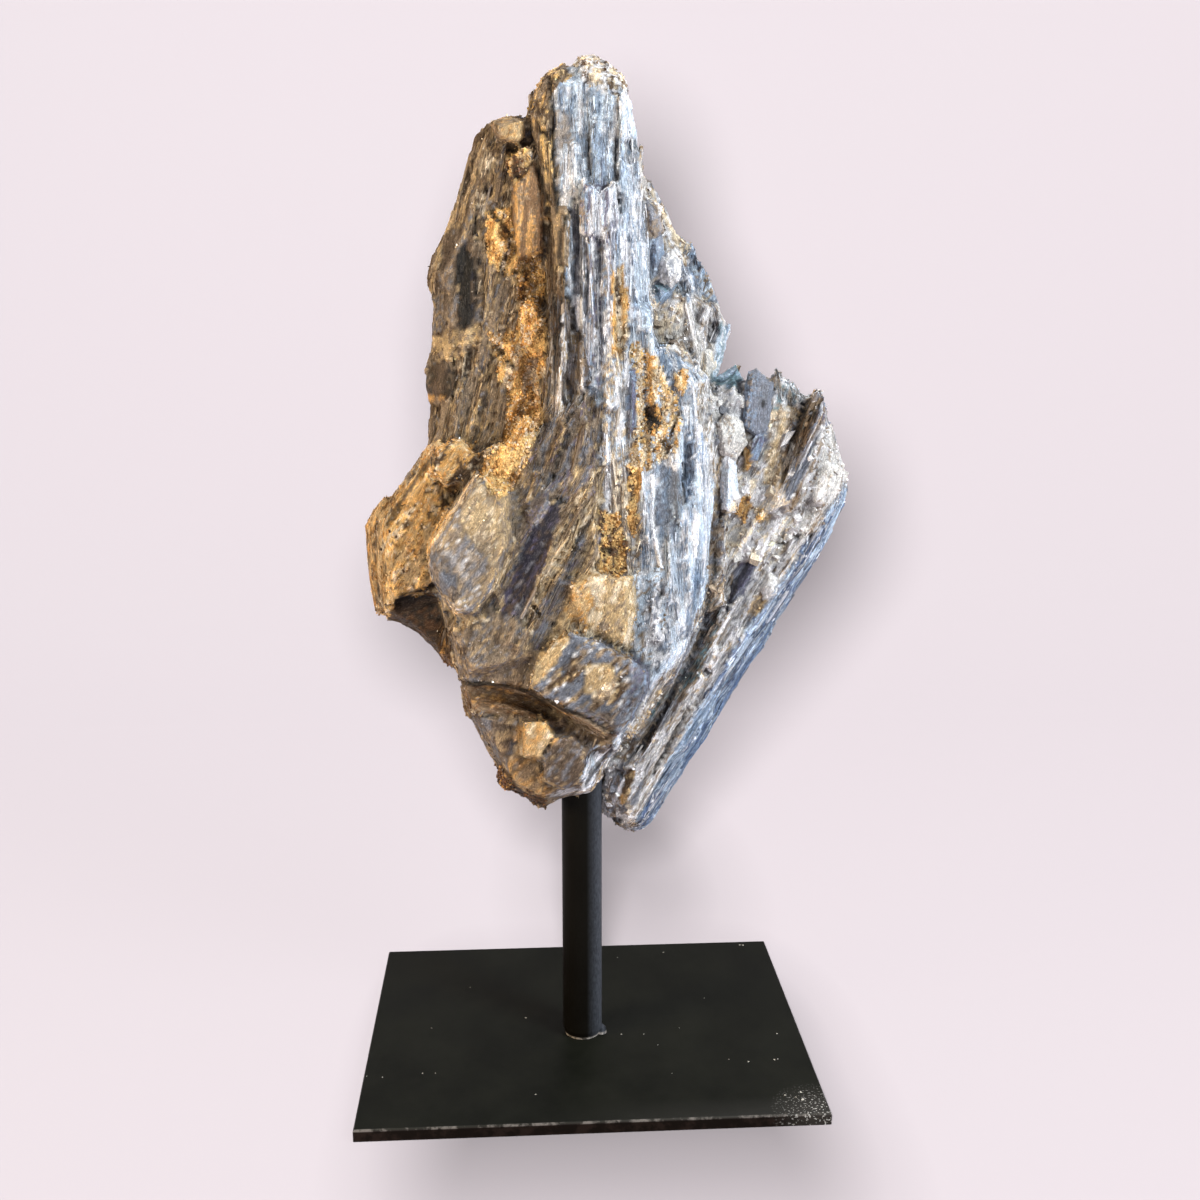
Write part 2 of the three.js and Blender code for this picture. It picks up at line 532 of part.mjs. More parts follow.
function socketSolid() {
  const radius = POST.radius + SOCKET.gap;
  const height = POST.top + SOCKET.gap - SOCKET.bottom;
  const bore = new THREE.CylinderGeometry(radius, radius, height, POST.sides);
  bore.rotateX(Math.PI / 2).translate(POST.x, POST.y, SOCKET.bottom + height / 2);
  return solidOf(bore);
}

// The rod, drawn in a little at its foot and chamfered on top, with the tack weld at its foot
function postGeometry() {
  const height = POST.top - PLATE.thickness;
  const profile = [
    [0, 0], [POST.radius - FOOT.taper, 0], [POST.radius, FOOT.height],
    [POST.radius, height - POST.chamfer], [POST.radius - POST.chamfer, height], [0, height],
  ];
  const rod = new THREE.LatheGeometry(vectors(profile), POST.sides).rotateX(Math.PI / 2);
  const domed = [[0, 0], [TACK.radius, 0], [TACK.radius * 0.8, TACK.height * 0.6], [0, TACK.height]];
  const bead = new THREE.LatheGeometry(vectors(domed), TACK.sides).rotateX(Math.PI / 2);
  const turn = THREE.MathUtils.degToRad(TACK.angle);
  bead.translate(POST.radius * Math.cos(turn), POST.radius * Math.sin(turn), 0);
  return geometryOf(solidOf(rod).add(solidOf(bead)));
}

// The plate, with its sharp edges taken off
function plateGeometry() {
  const { width, depth, thickness, edge } = PLATE;
  const [x, y] = [width / 2 - edge, depth / 2 - edge];
  const outline = new THREE.Shape(vectors([[-x, -y], [x, -y], [x, y], [-x, y]]));
  const settings = { depth: thickness - 2 * edge, bevelThickness: edge, bevelSize: edge, bevelSegments: 1 };
  return new THREE.ExtrudeGeometry(outline, settings).translate(0, 0, edge);
}

const blackPaint = new THREE.MeshStandardMaterial({ color: 0x1f211e, roughness: 0.5, metalness: 0.3 });
const blueGreyStone = new THREE.MeshStandardMaterial({ color: 0x8b8f98, roughness: 0.45, metalness: 0 });

function namedMesh(name, geometry, material) {
  const mesh = new THREE.Mesh(geometry, material);
  mesh.name = name;
  return mesh;
}

const specimen = new THREE.Group();
const plate = namedMesh("base_plate", plateGeometry(), blackPaint);
const post = namedMesh("post", postGeometry(), blackPaint);
post.position.set(POST.x, POST.y, PLATE.thickness);
const kyanite = namedMesh("kyanite", geometryOf(kyaniteSolid()), blueGreyStone);
specimen.add(plate, post, kyanite);

export default specimen;
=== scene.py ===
"""Kyanite specimen: the stone's fine blades, crumbs, quartz and flakes, and the finish of its stand."""
import math

import bpy
import numpy as np
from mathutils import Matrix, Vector
from mathutils.bvhtree import BVHTree
from mathutils.geometry import delaunay_2d_cdt


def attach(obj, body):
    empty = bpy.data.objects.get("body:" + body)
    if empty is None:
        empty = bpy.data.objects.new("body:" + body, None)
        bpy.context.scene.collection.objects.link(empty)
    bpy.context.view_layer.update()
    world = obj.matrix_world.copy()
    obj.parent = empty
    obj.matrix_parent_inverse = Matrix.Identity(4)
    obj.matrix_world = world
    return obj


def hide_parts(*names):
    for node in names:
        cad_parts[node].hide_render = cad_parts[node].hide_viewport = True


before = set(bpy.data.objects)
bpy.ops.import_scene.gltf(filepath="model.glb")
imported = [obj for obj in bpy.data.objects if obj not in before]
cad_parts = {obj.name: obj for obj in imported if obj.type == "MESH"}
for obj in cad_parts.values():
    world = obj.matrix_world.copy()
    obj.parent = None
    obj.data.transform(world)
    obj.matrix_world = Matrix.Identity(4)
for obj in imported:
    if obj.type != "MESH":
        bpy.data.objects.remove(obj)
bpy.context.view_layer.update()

MM = 0.001
rng = np.random.default_rng(41)

# The photograph's view: the eye in millimetres, its turn and tilt in degrees, and the lens
EYE = np.array([-19.35, -397.3, 233.4])
EYE_XZ = EYE[[0, 2]]
TURN = -3.485
TILT = 12.134
LENS = 39.444
SENSOR = 36.0


def groups(text):
    """Groups of numbers from text such as "3,4 5,6.5"."""
    return [tuple(map(float, group.split(","))) for group in text.split()]


def read_lines(text):
    """A table's rows, each a number, a colon and corners: pairs of the corners and the number."""
    rows = [row.split(": ") for row in text.strip().splitlines()]
    return [(groups(corners), float(number)) for number, corners in rows]


def read_kinds(text):
    """A table with headings: for each name in the first column, its numbers by heading."""
    head, *rows = [row.split() for row in text.strip().splitlines()]
    return {row[0]: dict(zip(head[1:], map(float, row[1:]))) for row in rows}


def read_regions(text):
    """A table of regions: a row with the name, kind, grain and colours, then rows with the outline."""
    regions = {}
    for row in text.strip().splitlines():
        name, _, rest = row.partition(": ")
        if rest:
            kind, grain, *colours = rest.split()
            shares = {colour: float(share) for colour, share in (entry.split("=") for entry in colours)}
            outline = []
            regions[name] = dict(outline=outline, shares=shares, grain=float(grain), kind=kind)
        else:
            outline += groups(row)
    return regions


# Base colours of the stone, as display values
PALETTE = {
    "pearl": (0.93, 0.93, 0.95),
    "ice": (0.79, 0.85, 0.92),
    "steel": (0.52, 0.60, 0.70),
    "slate": (0.46, 0.48, 0.53),
    "ink": (0.13, 0.13, 0.20),
    "violet": (0.38, 0.36, 0.47),
    "umber": (0.34, 0.26, 0.18),
    "taupe": (0.58, 0.51, 0.43),
    "tan": (0.80, 0.69, 0.52),
    "ochre": (0.82, 0.63, 0.37),
    "gold": (0.96, 0.80, 0.53),
    "rust": (0.41, 0.28, 0.17),
    "cream": (0.95, 0.88, 0.77),
    "quartz": (0.83, 0.82, 0.81),
    "teal": (0.40, 0.52, 0.56),
    "blue": (0.34, 0.43, 0.58),
    "black": (0.10, 0.09, 0.085),
}

# How each kind of surface is covered: laths, crumbs, mica flakes and chunks per square millimetre, the
# bounds of the laths' length and width in millimetres, how far they stray from the grain in degrees, how
# deep the blade relief is, and how much the colours differ
KINDS = read_kinds("""
kind     laths  crumbs  flakes  chunks  shortest  longest  thinnest  widest  stray  relief  contrast
fibre    1.0    0.0     0.04    0.0     3.0       14.0     0.4       1.3     5      1.0     0.85
coarse   0.8    0.0     0.03    0.0     5.0       20.0     0.6       2.4     4      1.4     1.0
grain    0.9    0.2     0.12    0.0     1.2       4.5      0.35      1.1     45     0.6     1.0
feather  0.9    0.0     0.08    0.0     1.6       6.0      0.3       0.9     24     0.35    0.65
crumb    0.15   1.7     0.25    0.0     1.2       3.6      0.4       0.9     60     0.8     1.0
chunky   0.65   0.2     0.15    0.07    1.5       7.0      0.5       1.6     22     0.55    0.85
smooth   0.12   0.0     0.01    0.0     3.0       9.0      0.2       0.5     3      0.2     0.7
""")

# The stone's front, in millimetres on the upright plane through the plate's centre as the eye sees it. Later
# regions lie over earlier ones. Each has its kind of surface, its grain in degrees from +X, its colours with
# their shares, and its outline.
# The colours are partly the stone's own and partly painted light: warmer on the left, where the warm lamp
# falls, bluer on the right, under the cool light; regions named lit are painted lighter for the light on
# them
REGIONS = read_regions("""
left column: fibre 78 taupe=7 slate=2 tan=4 umber=5 cream=1
-15,290 -31,286 -48,249 -48,190 -20,180 -12,230
left column rim: fibre 72 tan=3 taupe=5 umber=6
-27,288 -32,285 -38,268 -48,249 -46,238 -41,248 -34,262
dark face: feather 76 umber=6 taupe=5 slate=2 tan=1
-41,257 -34,262 -31,256 -30.6,231 -45,227.4 -45,238 -42,248
left window: feather 88 black=11 ink=1
-37,253 -34,255.4 -32.6,250 -32.8,231 -36.6,229.6 -37,240
left ledge: grain 14 tan=5 taupe=5 umber=2
-46,229 -31,231.6 -29,225 -38,221.4 -47,222
lower dark face: smooth 82 umber=6 black=4 taupe=1
-48,217 -42,222.6 -38.4,219.6 -39,210 -43,206.6 -48,209
lower dark lip: smooth 10 ochre=3 umber=4 taupe=3
-47.4,211 -43,210.6 -39,209 -42.6,205.6 -47,207
left column foot: fibre 76 taupe=7 slate=2 tan=4 umber=4
-48,207 -39,209 -28,226 -25,214 -27,198 -33,194 -48,194
top lump: feather 70 tan=4 ochre=2 taupe=4 umber=3
-27,288 -21,290.6 -16.4,289.6 -16.6,283 -20.4,281 -25.6,284
seam head: crumb 80 ochre=4 gold=7 cream=2 umber=1
-28,264 -21,265 -19,250 -22,244 -28.6,250
seam's upper grains: crumb 80 gold=5 tan=4 rust=2 umber=1
-22,280 -16,281 -15.6,273 -19,270 -22.6,274
orange plate: feather 84 ochre=4 taupe=3 umber=4 rust=4
-20.4,272 -14,277 -12,270 -11.2,262 -11.6,252 -19,250 -20.6,262
seam knobs: crumb 80 gold=5 cream=3 ochre=5 umber=2
-20,251 -12,251 -11.6,238 -20,238
seam lumps: crumb 80 gold=7 ochre=4 cream=3
-19,238 -13,238.6 -11.6,232 -12,223 -16,221.6 -20,228
seam: crumb 80 gold=8 ochre=3 cream=4
-28,229 -20,229 -17.6,223 -12,222 -11.4,209 -16,204 -22,208 -25,216
seam foot: crumb 60 gold=8 cream=2 ochre=2
-22,211 -12,209 -12,203 -17,192 -21,183 -24.6,180 -28,182 -32,187 -30,193 -25,197
seam side: grain 52 tan=4 ochre=5 cream=1 umber=3
-47,197 -40,199 -31,197 -32,189 -36,184.6 -43,181 -49,187 -50,191
left bulge: grain 58 tan=6 ochre=5 gold=5 cream=3 umber=1
-48,193 -59,181 -67,173 -67,142 -58,144 -48,152 -42,172 -40,182
bulge ridge: smooth 52 ochre=5 gold=3 tan=2
-50,188 -47.6,184 -50,179.4 -56.6,177.6 -54,183
bulge rim: fibre 84 tan=5 ochre=3 umber=3 cream=1
-67,174 -67,142 -61.6,141 -61,152 -62,170 -57,181 -60,182
bulge hollow: feather 24 umber=5 black=7 rust=2
-61.6,142.6 -58,147.6 -52,150.6 -46.4,151 -43.6,142 -39.6,126 -48,132 -56,138
hollow's warm side: fibre 70 rust=4 umber=5 ochre=2
-45,141 -42.6,139 -40,126 -43,127 -46,134
upper middle: fibre 76 slate=3 taupe=6 umber=4 violet=1 tan=1
-13,216 4,218 10,207 9,182 -6,177 -20,184 -13,202
diagonal blades: fibre 62 slate=3 violet=1 taupe=6 umber=4 tan=4 cream=1
-20,186 6,190 7,158 -4,140 -14,128 -38,121 -42,130 -34,150
blades' lit side: feather 62 tan=4 taupe=6 slate=2 umber=1
-30,170 -25,180 -19,183 -17,178 -22,164 -32,146 -36,144
blades' foot: feather 72 taupe=7 slate=3 tan=2 umber=4
-43,136 -38,140 -30,146 -20,142 -14,131 -19,120 -38,121
window's left face: smooth 56 slate=5 taupe=3 violet=1 umber=2
-18,176 -12,180.6 -10,178 -13,172 -17,169
dark window: smooth 62 ink=5 umber=4 violet=3
-10.6,178 -6.4,179 -8,171 -12,161 -16,152 -21.4,146 -27,142.6 -24.6,150 -20,160 -15,170
pale facet: feather 52 slate=4 taupe=7 pearl=1 tan=2
-33.4,186 -38,178 -42,171.6 -47,164 -47.6,157 -45,150 -41,145.6 -36,143 -32,148 -30,159 -26,168 -26,178
-30,183
facet's blue foot: feather 60 slate=7 taupe=3 umber=1
-47.4,163 -47.6,157 -45,151 -40,147 -38,150 -41,157 -44,163
facet's warm side: feather 58 tan=6 cream=2 taupe=5
-33,185 -27,181 -25,170 -28,158 -33,166 -38,172 -38,177
facet's lower lip: grain 130 tan=4 cream=3 taupe=4 slate=2
-46,152 -41,146.6 -36,143.4 -32.6,147 -30,142 -37,139 -42,142
column flank: fibre 90 umber=8 taupe=5 tan=2 black=1 gold=1
-17,300 -10,303 -8.8,297 -8.2,285 -7.6,262 -7,250 -4.6,238 -3,220 -7,205 -13,202 -11.6,222 -11,262 -13,276
-15.6,288
column face: fibre 90 pearl=6 ice=5 slate=3 steel=3
-9.4,302 -4,305 12.6,304 16,285 20,262 21,214 12,204 -3,212 -4,240 -7,262 -8,286
face's mottled side: feather 86 taupe=3 slate=5 pearl=6 umber=1
-8,291 -3.4,291 -3,281 -4,270 -7.6,270
column crown: grain 84 cream=5 taupe=4 pearl=4 umber=2
-3.6,302 2,309 9,307 13.4,298 10,294 7,297 1,298
crown's left: grain 78 taupe=5 umber=5 tan=4 gold=1
-16,292 -14,299 -8,304.6 -3.6,304.6 -3.6,300 -8,297 -11,290
crown's blue patch: smooth 90 ice=5 steel=3 pearl=2
-5,297 -4,302.6 -1,302 -1.4,297
column's blue patch: fibre 84 ice=6 steel=3 pearl=3
3.4,296 9,295 9,289 4,290
column right: fibre 91 ice=6 pearl=7 steel=1
10.4,297 14,295 16,282 19,262 21,240 21,214 17.4,213 16,240 12,262 10.6,282
column's blue foot: fibre 90 steel=5 slate=3 ice=3
17.6,239 20.4,239 20.8,222 17.6,223
column middle: fibre 90 slate=5 pearl=5 violet=2 taupe=3 steel=3
-1.6,269.6 3,273 8.6,272 10,264 9.4,250 8.4,236 7,214 -4,213 -3,232 -1,240 -2.6,252 -3.4,262
column's bright strip: fibre 90 ice=5 pearl=7 slate=1
-6.6,281 -1,282 -0.6,271 -3,263 -5.4,262 -6.6,268
middle's bright strips: fibre 90 pearl=6 ice=3 violet=2
1.6,270 4,272 9,271 8.6,262 5,258 1.6,262
tan lath: smooth 88 tan=3 taupe=6 umber=3
-9.4,265 -5,265 -3.8,262 -4.6,248 -7.8,248
column low left: fibre 88 umber=3 slate=3 taupe=6 pearl=4 tan=1
-10,240 -3,238 0,226 2,214 -3,204 -12,205 -11,222
dark strip: fibre 88 black=6 umber=4 slate=2
-9.6,240 -7,240 -6.6,226 -8.4,213 -9.6,222
bright splinter: smooth 89 pearl=8 ice=3
-3,240 -0.8,240 -0.7,231 -2,229 -2.8,234
ochre flecks: grain 90 ochre=3 tan=5 cream=4 umber=3
8,247 12,249 13.8,240 13.4,229 12,220.6 8.2,222 8.6,236
right shoulder: chunky 104 quartz=4 pearl=5 taupe=4 cream=2 umber=1
15,278 22,272 34,254 44,230 41,214 30,214 21,214 19,262
shoulder rim: grain 122 cream=4 taupe=4 pearl=4 umber=2
17,277 26,264 34,253 40,240 36,240 28,251 21,262
grey lump: smooth 80 taupe=5 slate=5
18.4,267 22,264 23.6,258 20.6,255 18.2,259
blue lump: smooth 84 steel=5 slate=5 ice=1
18.8,257 23,257 24,251 22.4,246 20,243
quartz knob: smooth 80 quartz=6 pearl=3 slate=2
22,247 22.6,250.6 26,252.6 28.8,249.6 28.8,245 26,241.6 22.4,243.6
knob's blue foot: smooth 40 steel=5 slate=4 teal=2
20.6,243 23.4,243 26,241.6 27.6,243 25.4,238.8 22,236.4
shoulder's blue face: fibre 100 ice=3 pearl=4 slate=3 steel=2
29,250 33,247 35,241 31,238 28,241
shoulder cavity: chunky 80 quartz=5 taupe=4 cream=4 pearl=2
20.8,238 25,238.6 31,236 30.6,230 25,225 21,223
shoulder's green spots: grain 110 umber=6 taupe=3 tan=2
34.6,244 36.6,247 39,243 37.6,240.6
shoulder blades: fibre 104 quartz=4 pearl=6 taupe=4 slate=1
32,240 41,238 43,229 40,214 32,212 30,226
shoulder's dark stripes: fibre 66 ink=1 slate=6 pearl=3 umber=2
36.6,226 39,231.6 41.6,231 39.6,226
shoulder's pink face: smooth 100 quartz=7 cream=2
35.4,224 39,224.6 40,219 37.6,215 35.6,217
shoulder edge: smooth 104 ice=5 teal=4 pearl=2
40.6,231 43.6,230 41.6,221 39,213 37.4,213 40,222
shoulder's teal foot: smooth 20 teal=5 slate=4 ice=2
32.6,219 35,215.6 39,215 38,212 32,212
ridge: fibre 92 ice=6 pearl=8 steel=3 slate=1
14,232 22,226 30,222 38,215 41,196 41,170 37,140 32,120 18,101 6,84 0,84 6,99 16,116 16,140 18,165 16,190
19,205
ridge's foot: fibre 64 ice=4 pearl=7 slate=2 steel=1
34,137 33,128 26,116 18,103 7,88 0,84 1,90 9,101 16,114 24,128
ridge's blue strip: fibre 84 steel=4 ice=4 pearl=3 slate=2
21,226 30,222 31.6,212 28,212 25,216
ridge's blue face: feather 92 steel=3 slate=6 ice=1
21.4,187 23,190 30,189 30,176 29.4,167 25,165 21,171
ridge's white line: smooth 96 pearl=8 ice=2
19.6,188 22,187 21.6,172 23.4,163 25.6,156.6 23,157 20.4,168
ridge's steel strip: fibre 90 steel=5 slate=4
30.4,197 33.4,197 33,184 31,176 30.4,186
ridge's right: fibre 91 ice=6 pearl=8 steel=1
33,214 38,214 41,190 39,160 33,160 34,190
ridge's left: fibre 95 pearl=5 taupe=5 slate=3 cream=3 umber=1
9,204 17,200 16,170 17,140 16,130 8,158 6,186
ridge's low middle: grain 84 slate=2 pearl=10 ice=5 taupe=1
16,156 24,158 26,140 24,124 15.6,125
ridge's blue spots: fibre 92 steel=5 ice=4 slate=1
33.6,157 36.6,156 36.4,146 34,142 32.8,149
inner seam: crumb 92 ochre=3 tan=4 cream=7 gold=3 umber=1 ice=2
14,226 22,223 24.6,215 26,211 30,206 28,194 19,188 14,188 11,192 15,202 14,214
seam's right lobe: crumb 80 ochre=6 tan=5 cream=1 umber=1
27,217 31,219 31.4,213 29,209.6 27,212
inner laths: fibre 92 pearl=6 ice=2 tan=3 slate=3 cream=1
6,224 14,222 16,206 14,190 5,190
violet lath: smooth 91 violet=3 steel=5 slate=2
13.2,218 15.8,218 15.6,201 13.8,199.4
inner gap: crumb 92 umber=6 black=4 ochre=2
18.4,206 21,208 24.6,206.6 24,201.6 21,199 18.6,202
lower vertical seam: crumb 92 ochre=5 gold=5 umber=1
13.4,190 17.6,190 17,178 15.6,168 13.6,170
lower seam: crumb 92 ochre=6 gold=4 rust=1 umber=1
5,176 10.4,175 13.4,164 13,156.6 9,155 5,158 5,166
peach patch: grain 72 cream=5 tan=7 taupe=1
-6,147 -4,153.6 3,158 8,155.4 15.4,155 17.4,148 15.8,137 15,130.6 9,133 3,135.6 -4,138.6 -6,142
peach patch's left: grain 60 tan=5 ochre=4 cream=1 taupe=2
-7,147 -4,153.6 1,157 3,148 1,138 -4,138.6 -6.6,142
front block: grain 40 slate=7 pearl=1 taupe=5 tan=1 umber=5
-18,120 -14,132 -6,138.6 -2.4,137.6 3,136 14.6,130.6 21,124.6 16,110 10.4,103 3,106 -6,110 -12,115
block's blue face: feather 56 slate=8 steel=1 umber=2
-8.6,127 -6,132.6 -4.6,135.6 -0.6,135.4 -3.6,129 -7,124
block's lit corner: grain 56 tan=7 cream=2 ochre=3
-18,119.6 -14,132 -8,137.4 -5,138.6 -4.6,135 -8.6,128 -13,122
block's warm spot: grain 60 tan=6 cream=4 taupe=2
0,127 6,128 10,124 9.6,117 5,115.6 0,119
block's right faces: feather 58 violet=3 slate=6 umber=1 steel=1
14.8,130.4 20.8,124.6 21,119 16,110.4 10.4,103 8,107 11,112 14,119
block's underside: feather -26 slate=4 umber=5 violet=1 taupe=3
-12,115.6 -2,113.4 8,112 9.4,105 3,106 -5,110
brown step: feather -14 taupe=5 rust=5 umber=4 ochre=2
-40,123 -36,121.6 -20,120 -12,116 2,110 10.4,103.6 8.4,99.6 4,103 -3,106 -9,108 -14,110.4 -24,110.4 -37,112
step's paler lines: fibre -22 taupe=5 umber=4 tan=1
-12,112 -4,110 6,104 8,101 4,103 -4,106.6 -12,109
bottom block: feather 66 taupe=5 slate=3 umber=5 tan=3
-38,111 -8,107 8,100.6 6,92 2,84 -12,79 -30,86
bottom grey facet: feather 74 slate=4 taupe=5 umber=5 tan=1
-36.6,111 -26,110.6 -21.6,110 -22,103 -23,97 -27,96 -32,103
bottom ochre: feather 62 ochre=4 tan=6 cream=1
-21.6,106 -18,110 -12,109.4 -8.4,104.6 -12.6,99 -16,96 -22.6,98
bottom warm edge: feather 50 taupe=4 tan=4 ochre=3 umber=3
-24,97 -21,98 -16,96 -13.4,93 -14,89 -10,86 -14,81 -21,84 -24.6,90
bottom facet: feather 58 slate=4 umber=7 taupe=2 tan=1
-9,104 -3,105 1,101 2,98 0,92 -2,88 -6,86.4 -12,88.4 -14,91 -13.4,96
bottom's bright side: fibre 64 pearl=5 ice=4 violet=2 slate=1
2,99 7,98.6 5,93 1.6,86 -1.6,86.4 -1.4,90 1,94
rust lump: crumb 60 rust=6 ochre=2 umber=4
-29,95 -25.6,93 -23,90 -21.6,86 -28,85
bottom's brown edge: grain -30 umber=6 rust=3 black=2
-24,88.6 -18,85.6 -12.6,82 -12,79 -24,84
bright lip: smooth 6 pearl=8 cream=2
-12,84 -8,85.8 -3,86.8 1.6,86.8 2,84.4 -7,82.6
slab: fibre 60 taupe=2 quartz=4 slate=2 pearl=10 tan=2 umber=1
33,214 60,220 74,212 84,184 66,146 22,70 2,76 6,94 22,120 38,140 42,172
slab's top: chunky 76 slate=3 quartz=7 pearl=3
39,214 48,214 49,200 44,190 39,196
teal shard: smooth 20 teal=7 steel=2 ice=1
38.6,215 45.6,219.4 48,214.6 44,213.2
round plate: smooth 84 slate=7 steel=3 taupe=1 ink=1
47.6,201 48,210 49.6,217 52,218 54.6,215.6 57.2,214 57.4,205 55.6,198.6 52,197.4
plate's lit top: smooth 84 steel=4 ice=4 pearl=2
48,213 49.6,218 52,218.6 55,215.6 52,214.6 50,215
slab's splinters: fibre 80 pearl=5 teal=2 slate=3 taupe=3
57.2,203 57,220 60,220 68,213 66,208 60,208
slab's crumbs: chunky 74 tan=4 cream=5 quartz=3 taupe=2
57,205 63,208 66.4,200 62,190 60,180 55,184 56,196
pink quartz: smooth 80 quartz=8 taupe=2 slate=1
40.2,202 43,205 48,202.6 49.6,196 46,190.4 42,192 40.2,196
lens blade: smooth 93 pearl=7 ice=4
42,176 44.8,173.6 47.4,180 46.4,190 43.8,195 41.6,186
tan chip: grain 93 tan=6 ochre=3
48,196 50.4,194 51,189 49,187 48.6,191
blue lens: smooth 70 steel=5 violet=4 ice=1
50.4,190.4 53,190.8 55.4,198 53.6,199.8 51.4,197
dark blades: coarse 63 umber=3 black=3 taupe=3 slate=3 pearl=1
60,188 62,200 66,207 70.6,213 73.4,208 71,200 67,190 63,182
grey blades: coarse 64 slate=4 pearl=3 violet=1 taupe=4 umber=1
60.4,179 64,187 70,200 73,209 75,204 71,190 66,178 61,171
quartz mass: chunky 70 quartz=7 pearl=5 taupe=3
66,176 68.6,190 73,202 77,197 80,190 82,184 79,178 73,167 67,168
slab's middle: chunky 62 quartz=6 cream=7 pearl=9
47,188 60,182 67,170 60,158 44,160 43,176
slab's rust spots: crumb 60 ochre=5 rust=2 tan=3
47.6,179 50.6,179.6 52,175.4 49,172 46.6,175
slab's gold spots: crumb 60 gold=4 cream=4 tan=2
52,175 56,177 57.4,173 54,170
slab's violet blades: smooth 58 ink=4 violet=3 slate=4
45.6,153 49,159.4 54,158 50,151 44,143
slab's quartz chips: smooth 60 quartz=8 pearl=2
54,151 57,156.6 61,154 60,149 56,147
slab's warm chips: grain 60 taupe=5 tan=4 umber=2
52,147 55.6,149.6 57,145 53.6,141 50.6,142
slab's recess: chunky 64 umber=3 slate=4 taupe=6 quartz=4 tan=2
40,182 43.6,180 44,158 40,140 30,124 22,108 14,98 8,96 16,108 32,130 38,152
slab's dark groove: fibre 60 slate=6 umber=3 taupe=3 teal=1
36,140 41,150 43,140 36,124 26,108 18,96 16,102 28,124
polished edge: coarse 58 steel=5 ice=5 slate=4 blue=5 pearl=2 ink=1
85,185 79,181 74,171.6 66,159.6 56,145.6 47,132 40,120 32,106 24,90 17,77 16,70 24,68 56,124 85,172
edge's blue stretch: fibre 58 blue=6 steel=4 ink=2 ice=2
60,141 56,136 48,124 40,110 30,92 34,88 60,132
slab's tail: chunky 62 slate=3 taupe=3 pearl=11
4,84 8,94 16,97 20,92 18,84 14,74 6,74
tail's brown side: grain 66 umber=5 tan=3 ochre=1
11,84 14,94 16.6,92 14.6,84 12,80
""")

# The back has fewer colours: three bundles of blades with ochre in the clefts between them
BACK_REGIONS = read_regions("""
back: coarse 86 taupe=4 slate=5 pearl=3 steel=3 tan=1
-80,60 100,60 100,320 -80,320
back right: coarse 62 slate=5 steel=4 ice=3 taupe=3
12,270 100,240 100,60 10,60 20,170 16,220
back left: coarse 78 taupe=5 slate=3 tan=4 umber=2
-80,300 -22,280 -22,206 -28,130 -80,110
left cleft: crumb 82 ochre=5 tan=3 umber=3
-24,272 -19,272 -20,200 -25,140 -30,140 -24,200
right cleft: crumb 84 ochre=3 tan=4 umber=3
12,262 16,262 20,206 10,150 5,150 14,206
back blue blades: fibre 86 steel=5 ice=4 slate=3 ink=1
-8,262 4,264 6,214 2,190 -4,206
back crown: grain 84 cream=4 taupe=5 pearl=3 umber=3
-14,312 18,312 17,290 8,284 0,290 -14,286
back facet: feather 40 slate=4 taupe=5 pearl=2 tan=3
-10,182 0,192 8,188 13,164 4,146 -12,152
back quartz: chunky 62 quartz=6 pearl=4 taupe=3 cream=2
26,190 36,202 48,196 56,172 46,150 32,158
back gold pocket: crumb 70 gold=5 ochre=4 cream=2 umber=2
-44,190 -36,203 -29,196 -28,182 -37,172
back brown face: feather 50 umber=6 taupe=4 rust=1 slate=2
-22,132 -6,138 10,134 15,112 2,96 -15,98
back dark step: feather 20 umber=5 black=3 taupe=3
-46,146 -27,150 -20,130 -34,122 -44,130
back rust: crumb 62 rust=4 ochre=5 tan=2
36,140 45,146 46,134 38,124 33,130
""")
